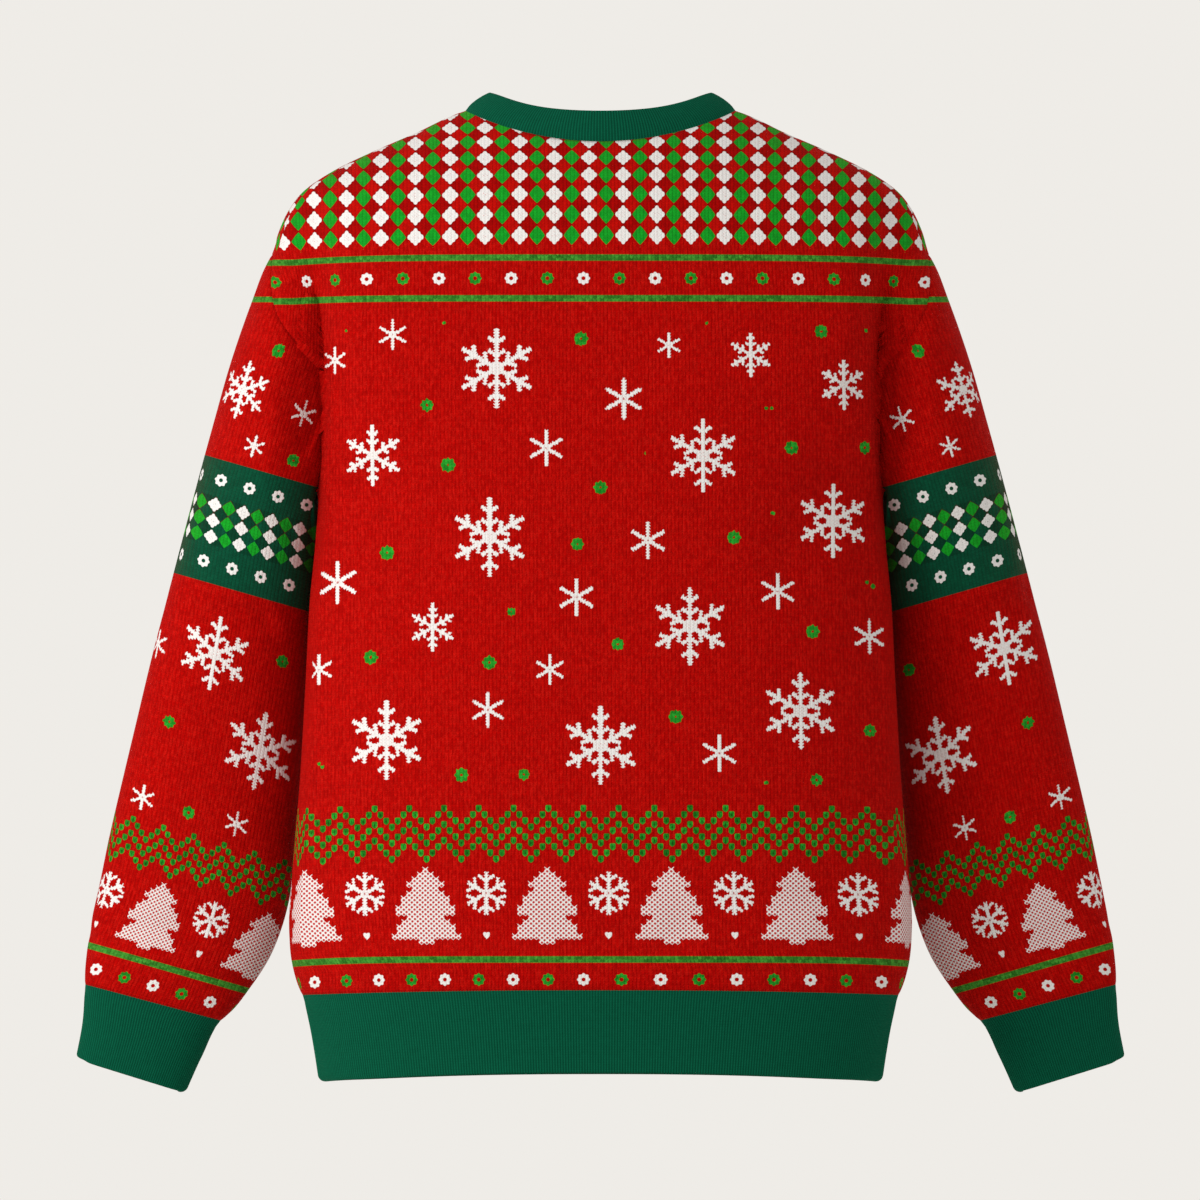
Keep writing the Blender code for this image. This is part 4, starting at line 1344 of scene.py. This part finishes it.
def motif_at(tree, u, v, soft_u, soft_v, bands):
    """The motif at a place, the face's or a band's: the place seen from its middle, its size and kind."""
    motif_u, motif_v, kind = parts_of(tree, attribute_of(tree, "motif").outputs["Vector"])
    size = Field(tree, attribute_of(tree, "motif_size").outputs["Fac"])
    x, y = soft_u - motif_u, soft_v - motif_v
    white, green = KINDS["white_flower"], KINDS["green_flower"]
    for height, start in bands.rings + bands.white_rings:
        chosen = v.near(height, FLOWER_REACH)
        ring_x, odd = periodic(u, start, bands.ring_pitch)
        x, y = toward(x, ring_x, chosen), toward(y, v - height, chosen)
        size = toward(size, bands.ring_size, chosen)
        own = odd * (green - white) + white if (height, start) in bands.rings else white
        kind = toward(kind, own, chosen)
    flake_x, _ = periodic(u, bands.tree_start + bands.tree_pitch / 2, bands.tree_pitch)
    flake_x = flake_x + (soft_u - u)
    reach = bands.flake_size
    chosen = v.near(bands.flake, reach + FLAKE_ROOM_UP) * flake_x.size().below(reach + FLAKE_ROOM_ASIDE)
    x, y = toward(x, flake_x, chosen), toward(y, soft_v - bands.flake, chosen)
    size, kind = toward(size, bands.flake_size, chosen), toward(kind, KINDS["tree_flake"], chosen)
    chosen = v.near(bands.stitch, HEART_REACH) * flake_x.size().below(HEART_REACH)
    x, y = toward(x, flake_x, chosen), toward(y, v - bands.stitch, chosen)
    size, kind = toward(size, HEART_SIZE, chosen), toward(kind, KINDS["heart"], chosen)
    return x, y, size.most(0.1), kind


def motif_marks(x, y, size, kind):
    """Where a motif is white, where it is green, and the middle of a snowflake."""
    is_a = {name: kind.near(number) for name, number in KINDS.items()}
    is_ring = is_a["ring"].most(is_a["white_flower"]).most(is_a["green_flower"])
    is_green = is_a["ring"].most(is_a["speck"]).most(is_a["green_flower"])
    from_centre = x.length(y)
    flake = (flake_distance(x, y, size, kind) * size).within() * kind.above(0.5)
    flake = flake * (1.0 - is_ring.most(is_a["speck"]).most(is_a["heart"]))
    ring = ring_distance(x, y, size, kind).within() * is_ring
    speck = (from_centre - size).within() * is_a["speck"]
    heart = heart_distance(x, y, size, HEART_NOTCH).within() * is_a["heart"]
    spots = ring.most(speck)
    middle = (from_centre - size * HUB_SHARE).within(1.0) * flake
    eye = (from_centre - size * EYE_SHARE).within(0.5) * is_a["star"].most(is_a["tree_flake"])
    white = flake.most(heart).most(spots * (1.0 - is_green)) * (1.0 - eye * EYE_DEPTH)
    return white, spots * is_green, middle


def zigzag_marks(tree, u, v, bands):
    """The zigzag's dots, their rims and slits of painted shade, and a random tone for each."""
    low, high = bands.zigzag
    steps = (u - bands.zigzag_start) / bands.zigzag_step
    number = steps.whole()
    slope = (number - (number / ZIGZAG_WAVE).whole() * ZIGZAG_WAVE - ZIGZAG_WAVE / 2).size()
    apart = (high - low - 3 * bands.zigzag_rise) / 2
    climb = (v - low - slope * bands.zigzag_rise) / apart
    nearest = (climb + 0.5).whole()
    dot_x = (steps - number - 0.5) * bands.zigzag_step
    dot_y = (climb - nearest) * apart + ZIGZAG_LIFT
    dot = heart_distance(dot_x, dot_y, bands.zigzag_step * ZIGZAG_DOT, ZIGZAG_NOTCH)
    in_zigzag = nearest.near(1.0, 1.5)
    zigzag = dot.within(LINE_EDGE) * in_zigzag
    rims = ((dot - RIM_PLACE).size() - RIM_HALF).within(LINE_EDGE) * in_zigzag
    slits = (dot_x.size() * SLIT_NARROWNESS + dot_y.size() - SLIT_HEIGHT).within(2 * LINE_EDGE) * zigzag
    return zigzag, rims, slits, random_of(tree, number, nearest) * zigzag


def tree_marks(u, v, bands):
    """The trees, the gaps between their stitches and the rise of each stitch."""
    count = len(TREE_ROWS)
    wide, tall = bands.tree_width / TREE_STITCHES, bands.tree_height / count
    tree_x, _ = periodic(u, bands.tree_start, bands.tree_pitch)
    beside, leg, leg_u, leg_v = stitches(tree_x + wide / 2, v - bands.trees, (wide, tall))
    row = (leg_v / tall - MEAN_RISE) / count
    half = stepped(row, [(k / count, (n * RAMP_SCALE,)) for k, n in enumerate(TREE_ROWS)])[0]
    trees = ((leg_u - wide / 2).size() / wide - half * (1 / RAMP_SCALE)).below(0.5) * row.near(0.5, 0.5)
    gaps = dots(tree_x / wide, (v - bands.trees) / tall + TREE_GAP_LIFT, *TREE_GAP)
    return trees, gaps, leg.swell(2.0) * (1.0 - (beside * 2.0).of("POWER", 6.0))


def check_marks(u, v, bands):
    """The check: white and green diamonds, outlines of painted shadow, white ones' middles, odd places, and
    where it lies.
    """
    period = (u - bands.check_start) / bands.check_across
    row = (v - bands.check) / bands.check_up
    from_white = ((period + 0.5).part() - 0.5).size() * 4.0
    from_row = ((row + 0.5).part() - 0.5).size() * 2.0
    in_check = v.above(bands.check_from) * v.below(bands.check_to)
    lean = from_white - from_row
    bulge = lean.wave(CHECK_TURN) * WHITE_BULGE + lean.wave(CHECK_BUMPS) * WHITE_BULGE + lean * WHITE_LEAN
    white_sum = from_white + from_row
    white = (white_sum - bulge - WHITE_REACH).within(CHECK_EDGE) * in_check
    green_sum = (2.0 - from_white) + from_row
    bulge = (2.0 - from_white - from_row).wave(CHECK_TURN) * GREEN_BULGE
    green = (green_sum - bulge - GREEN_REACH).within(CHECK_EDGE) * in_check
    outline = ((white_sum - 1.0).size().least((green_sum - 1.0).size()) - CHECK_OUTLINE).within(0.08)
    middle = (white_sum - CHECK_MIDDLE).within(0.3) * white
    parity = ((period * 2.0).whole() + row.whole()).odd()
    return white, green, outline, middle, parity, in_check


def new_material(name, **look):
    """A new material with its shader's inputs set, and its node tree."""
    material = bpy.data.materials.new(name)
    material.use_nodes = True
    shader = material.node_tree.nodes["Principled BSDF"]
    for key, value in look.items():
        shader.inputs[key].default_value = value
    return material, material.node_tree


def finish_cloth(tree, colour, rise, bump_look):
    """Gives a cloth material its colour and the relief of its stitches."""
    strength, distance = bump_look
    shader = tree.nodes["Principled BSDF"]
    tree.links.new(colour, shader.inputs["Base Color"])
    bump = add_node(tree, "Bump", {"Strength": strength, "Distance": distance, "Height": rise})
    tree.links.new(bump.outputs[0], shader.inputs["Normal"])


def knit_material(name, bands):
    """Red knit with its bands and motifs, all drawn from the fabric places."""
    material, tree = new_material(name, **CLOTH_LOOK, **{"Sheen Tint": (*KNIT_SHEEN, 1.0)})
    u, v, _ = parts_of(tree, attribute_of(tree, "fabric").outputs["Vector"])
    fine_beside, fine_leg, fine_u, fine_v = stitches(u, v, FINE_STITCH)
    soft_u, soft_v = toward(u, fine_u, PULL[0]), toward(v, fine_v, PULL[1])
    white, green_spots, flake_middle = motif_marks(*motif_at(tree, u, v, soft_u, soft_v, bands))
    zigzag, rims, slits, dot_tone = zigzag_marks(tree, u, v, bands)
    trees, gaps, coarse = tree_marks(u, v, bands)
    check_white, check_green, outline, check_middle, parity, in_check = check_marks(u, v, bands)
    among = v.above(bands.check) * in_check
    lines = None
    for height in bands.lines:
        line = ((v - height).size() - bands.line_width / 2).within(LINE_EDGE)
        lines = line if lines is None else lines.most(line)

    # Colours.
    speckle = random_of(tree, fine_u, fine_v)
    fibre = random_of(tree, (u / FIBRE[0]).whole(), (fine_v / FIBRE[1] + fine_leg * 2.0).whole())
    mottle = noise(tree, combined(tree, u, v), MOTTLE_SCALE, 1.0)
    red = mixed(tree, (fibre - FIBRE_FROM).most(0.0) * FIBRE_SHARE, RED, FIBRE_RED)
    ground = mixed(tree, among, red, mixed(tree, parity, BRIGHT_RED, DARK_RED))
    low, high = bands.dark
    if high:
        dark = ((v - (low + high) / 2).size() - (high - low) / 2).within(LINE_EDGE)
        deep = mixed(tree, parity * in_check, DARK_GREEN, DEEP_GREEN)
        ground = mixed(tree, dark, ground, deep)
    mottled = speckle * GREEN_BY_SPECKLE + mottle * GREEN_BY_MOTTLE - GREEN_LESS
    pale = white.most(trees).most(check_white)
    patches = (mottle * PATCH_CONTRAST - PATCH_LESS).of("MULTIPLY", 1.0, clamp=True)
    marks = dots(u / FINE_STITCH[0], v / FINE_STITCH[1], *WHITE_GAP) * patches
    marks = marks * check_middle.most(flake_middle) * MARK_SHARE
    colour = ground
    # The first colour laid on is painted shadow: the check's outlines and the zigzag dots' rims.
    for share, over in (
        ((outline * among * OUTLINE_SHARE).most(rims * RIM_SHARE), SHADOW_RED),
        (check_green, BRIGHT_GREEN),
        (lines, mixed(tree, mottled, *LINE_GREENS)),
        (zigzag.most(green_spots), mixed(tree, mottled, *SPOT_GREENS)),
        (pale, WHITE),
        ((trees * gaps * GAP_SHARE).most(marks), ground),
    ):
        colour = mixed(tree, share, colour, over)

    # Stitch relief, and the painted shade that goes with it: darker between a stitch's legs and between its
    # rows.
    fine_rise = fine_leg.swell(2.0)
    fine_sides = 1.0 - (fine_beside * 2.0).of("POWER", 3.0)
    fine = fine_rise * RISE_RELIEF + fine_sides * SIDES_RELIEF
    rise = toward(fine * FINE_RELIEF + pale * PALE_RELIEF, coarse + TREE_RELIEF, trees)
    # Painted shade in the grooves between stitches, then random mottle and speckle.
    plain_tone = fine_sides * SIDES_SHADE + fine_rise * RISE_SHADE + GROOVE_SHADE
    tone = toward(plain_tone, coarse.scaled(*PALE_SHADE), pale) * mottle.scaled(*MOTTLE_TONE)
    tone = tone * (1.0 - (1.0 - speckle * 0.5 - fibre * 0.5) * (1.0 - pale) * SPECKLE_TONE)
    # Painted shade in the zigzag dots' slits, then each dot's random tone.
    tone = tone * (1.0 - slits * SLIT_SHADE) * (1.0 - dot_tone * DOT_TONE)
    shaded = add_node(tree, "VectorMath", {0: colour, "Scale": tone}, operation="SCALE").outputs[0]
    finish_cloth(tree, shaded, rise, KNIT_BUMP)
    return material


def rib_material(name):
    """Dark green rib knit, with painted shade between the ribs and between their courses."""
    material, tree = new_material(name, **CLOTH_LOOK, **{"Sheen Tint": (*RIB_SHEEN, 1.0)})
    ridge, along = (Field(tree, attribute_of(tree, key).outputs["Fac"]) for key in ("ridge", "along"))
    mottle = noise(tree, tree.nodes.new("ShaderNodeNewGeometry").outputs["Position"], RIB_MOTTLE_SCALE, 2.0)
    course = (along / RIB_COURSE).part().swell(2.0)
    # Painted shade: dark in the grooves and between courses, lighter on the ridges, with random mottle.
    light = ridge.scaled(*RIB_SHADE) * course.scaled(*RIB_COURSE_SHADE) + (mottle - 0.5) * RIB_MOTTLE
    finish_cloth(tree, mixed(tree, light, *RIB_GREENS), course * ridge, RIB_BUMP)
    return material


# The sweater.

body_knit = knit_material("body_knit", BODY_BANDS)
sleeve_knit = knit_material("sleeve_knit", SLEEVE_BANDS)
rib_knit = rib_material("rib_knit")


def dress(thing, node, material):
    """Makes a piece ride with the solids and stand for its node."""
    facing_out(thing)
    thing.data.materials.append(material)
    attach(thing, "root")
    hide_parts(node)


seam_normals = shared_armhole_normals()
for panel in ("back", "front"):
    dress(add_panel(panel, seam_normals), panel, body_knit)
for end, side in (("left", 1), ("right", -1)):
    sleeve, cuff = "sleeve_" + end, "cuff_" + end
    dress(add_sleeve(sleeve, side, seam_normals), sleeve, sleeve_knit)
    dress(add_rib(cuff, *cuff_rows(side), RIB_PITCH), cuff, rib_knit)
dress(add_rib("hem_rib", *hem_rows(), RIB_PITCH), "hem_rib", rib_knit)
neckband = add_rib("neckband", *neckband_rows(), NECKBAND_RIB_PITCH)
dress(neckband, "neckband", rib_knit)


# The floor, the light and the camera, in metres.

FLOOR_REACH = 6.0
FLOOR_LEVEL = -0.95
FLOOR_COLOUR = (0.8, 0.78, 0.75)
LIGHT_PLACE = (1.86, 1.49, 0.15)
LIGHT_AIM = (0, 0, -0.35)
LIGHT_SIZE = 1.4
LIGHT_POWER = 44
LIGHT_COLOUR = (1.0, 0.98, 0.95)
ROOM_COLOUR = (0.862, 0.839, 0.80)
CAMERA_PLACE = (0.00035, 3.0, -0.343)
CAMERA_SPAN = 0.84


def add_floor():
    """A plain pale floor, well below the hem."""
    mesh = bpy.data.meshes.new("floor")
    ends = ((-1, -1), (1, -1), (1, 1), (-1, 1))
    corners = [(x * FLOOR_REACH, y * FLOOR_REACH, FLOOR_LEVEL) for x, y in ends]
    mesh.from_pydata(corners, [], [(0, 1, 2, 3)])
    material, _ = new_material("floor", **{"Base Color": (*FLOOR_COLOUR, 1), "Roughness": 0.9})
    mesh.materials.append(material)
    placed("floor", mesh)


def add_light():
    """A soft square light on the wearer's left, behind the back."""
    data = bpy.data.lights.new("key", "AREA")
    data.shape = "SQUARE"
    data.size = LIGHT_SIZE
    data.energy = LIGHT_POWER
    data.color = LIGHT_COLOUR
    light = placed("key", data)
    light.location = LIGHT_PLACE
    x, y, z = np.array(LIGHT_AIM) - np.array(LIGHT_PLACE)
    light.rotation_euler = (np.arctan2(np.hypot(x, y), -z), 0, np.arctan2(y, x) - np.pi / 2)


def light_room():
    """Even pale light from all round."""
    world = bpy.data.worlds.new("studio")
    bpy.context.scene.world = world
    world.use_nodes = True
    background = world.node_tree.nodes["Background"]
    background.inputs["Color"].default_value = (*ROOM_COLOUR, 1)
    background.inputs["Strength"].default_value = 1.0


def add_camera():
    """The photograph's camera, square to the back and without perspective."""
    data = bpy.data.cameras.new("camera")
    data.type = "ORTHO"
    data.ortho_scale = CAMERA_SPAN
    camera = placed("camera", data)
    camera.location = CAMERA_PLACE
    camera.rotation_euler = (np.pi / 2, 0, np.pi)
    bpy.context.scene.camera = camera


add_floor()
add_light()
light_room()
add_camera()
bpy.context.scene.view_settings.view_transform = "Standard"
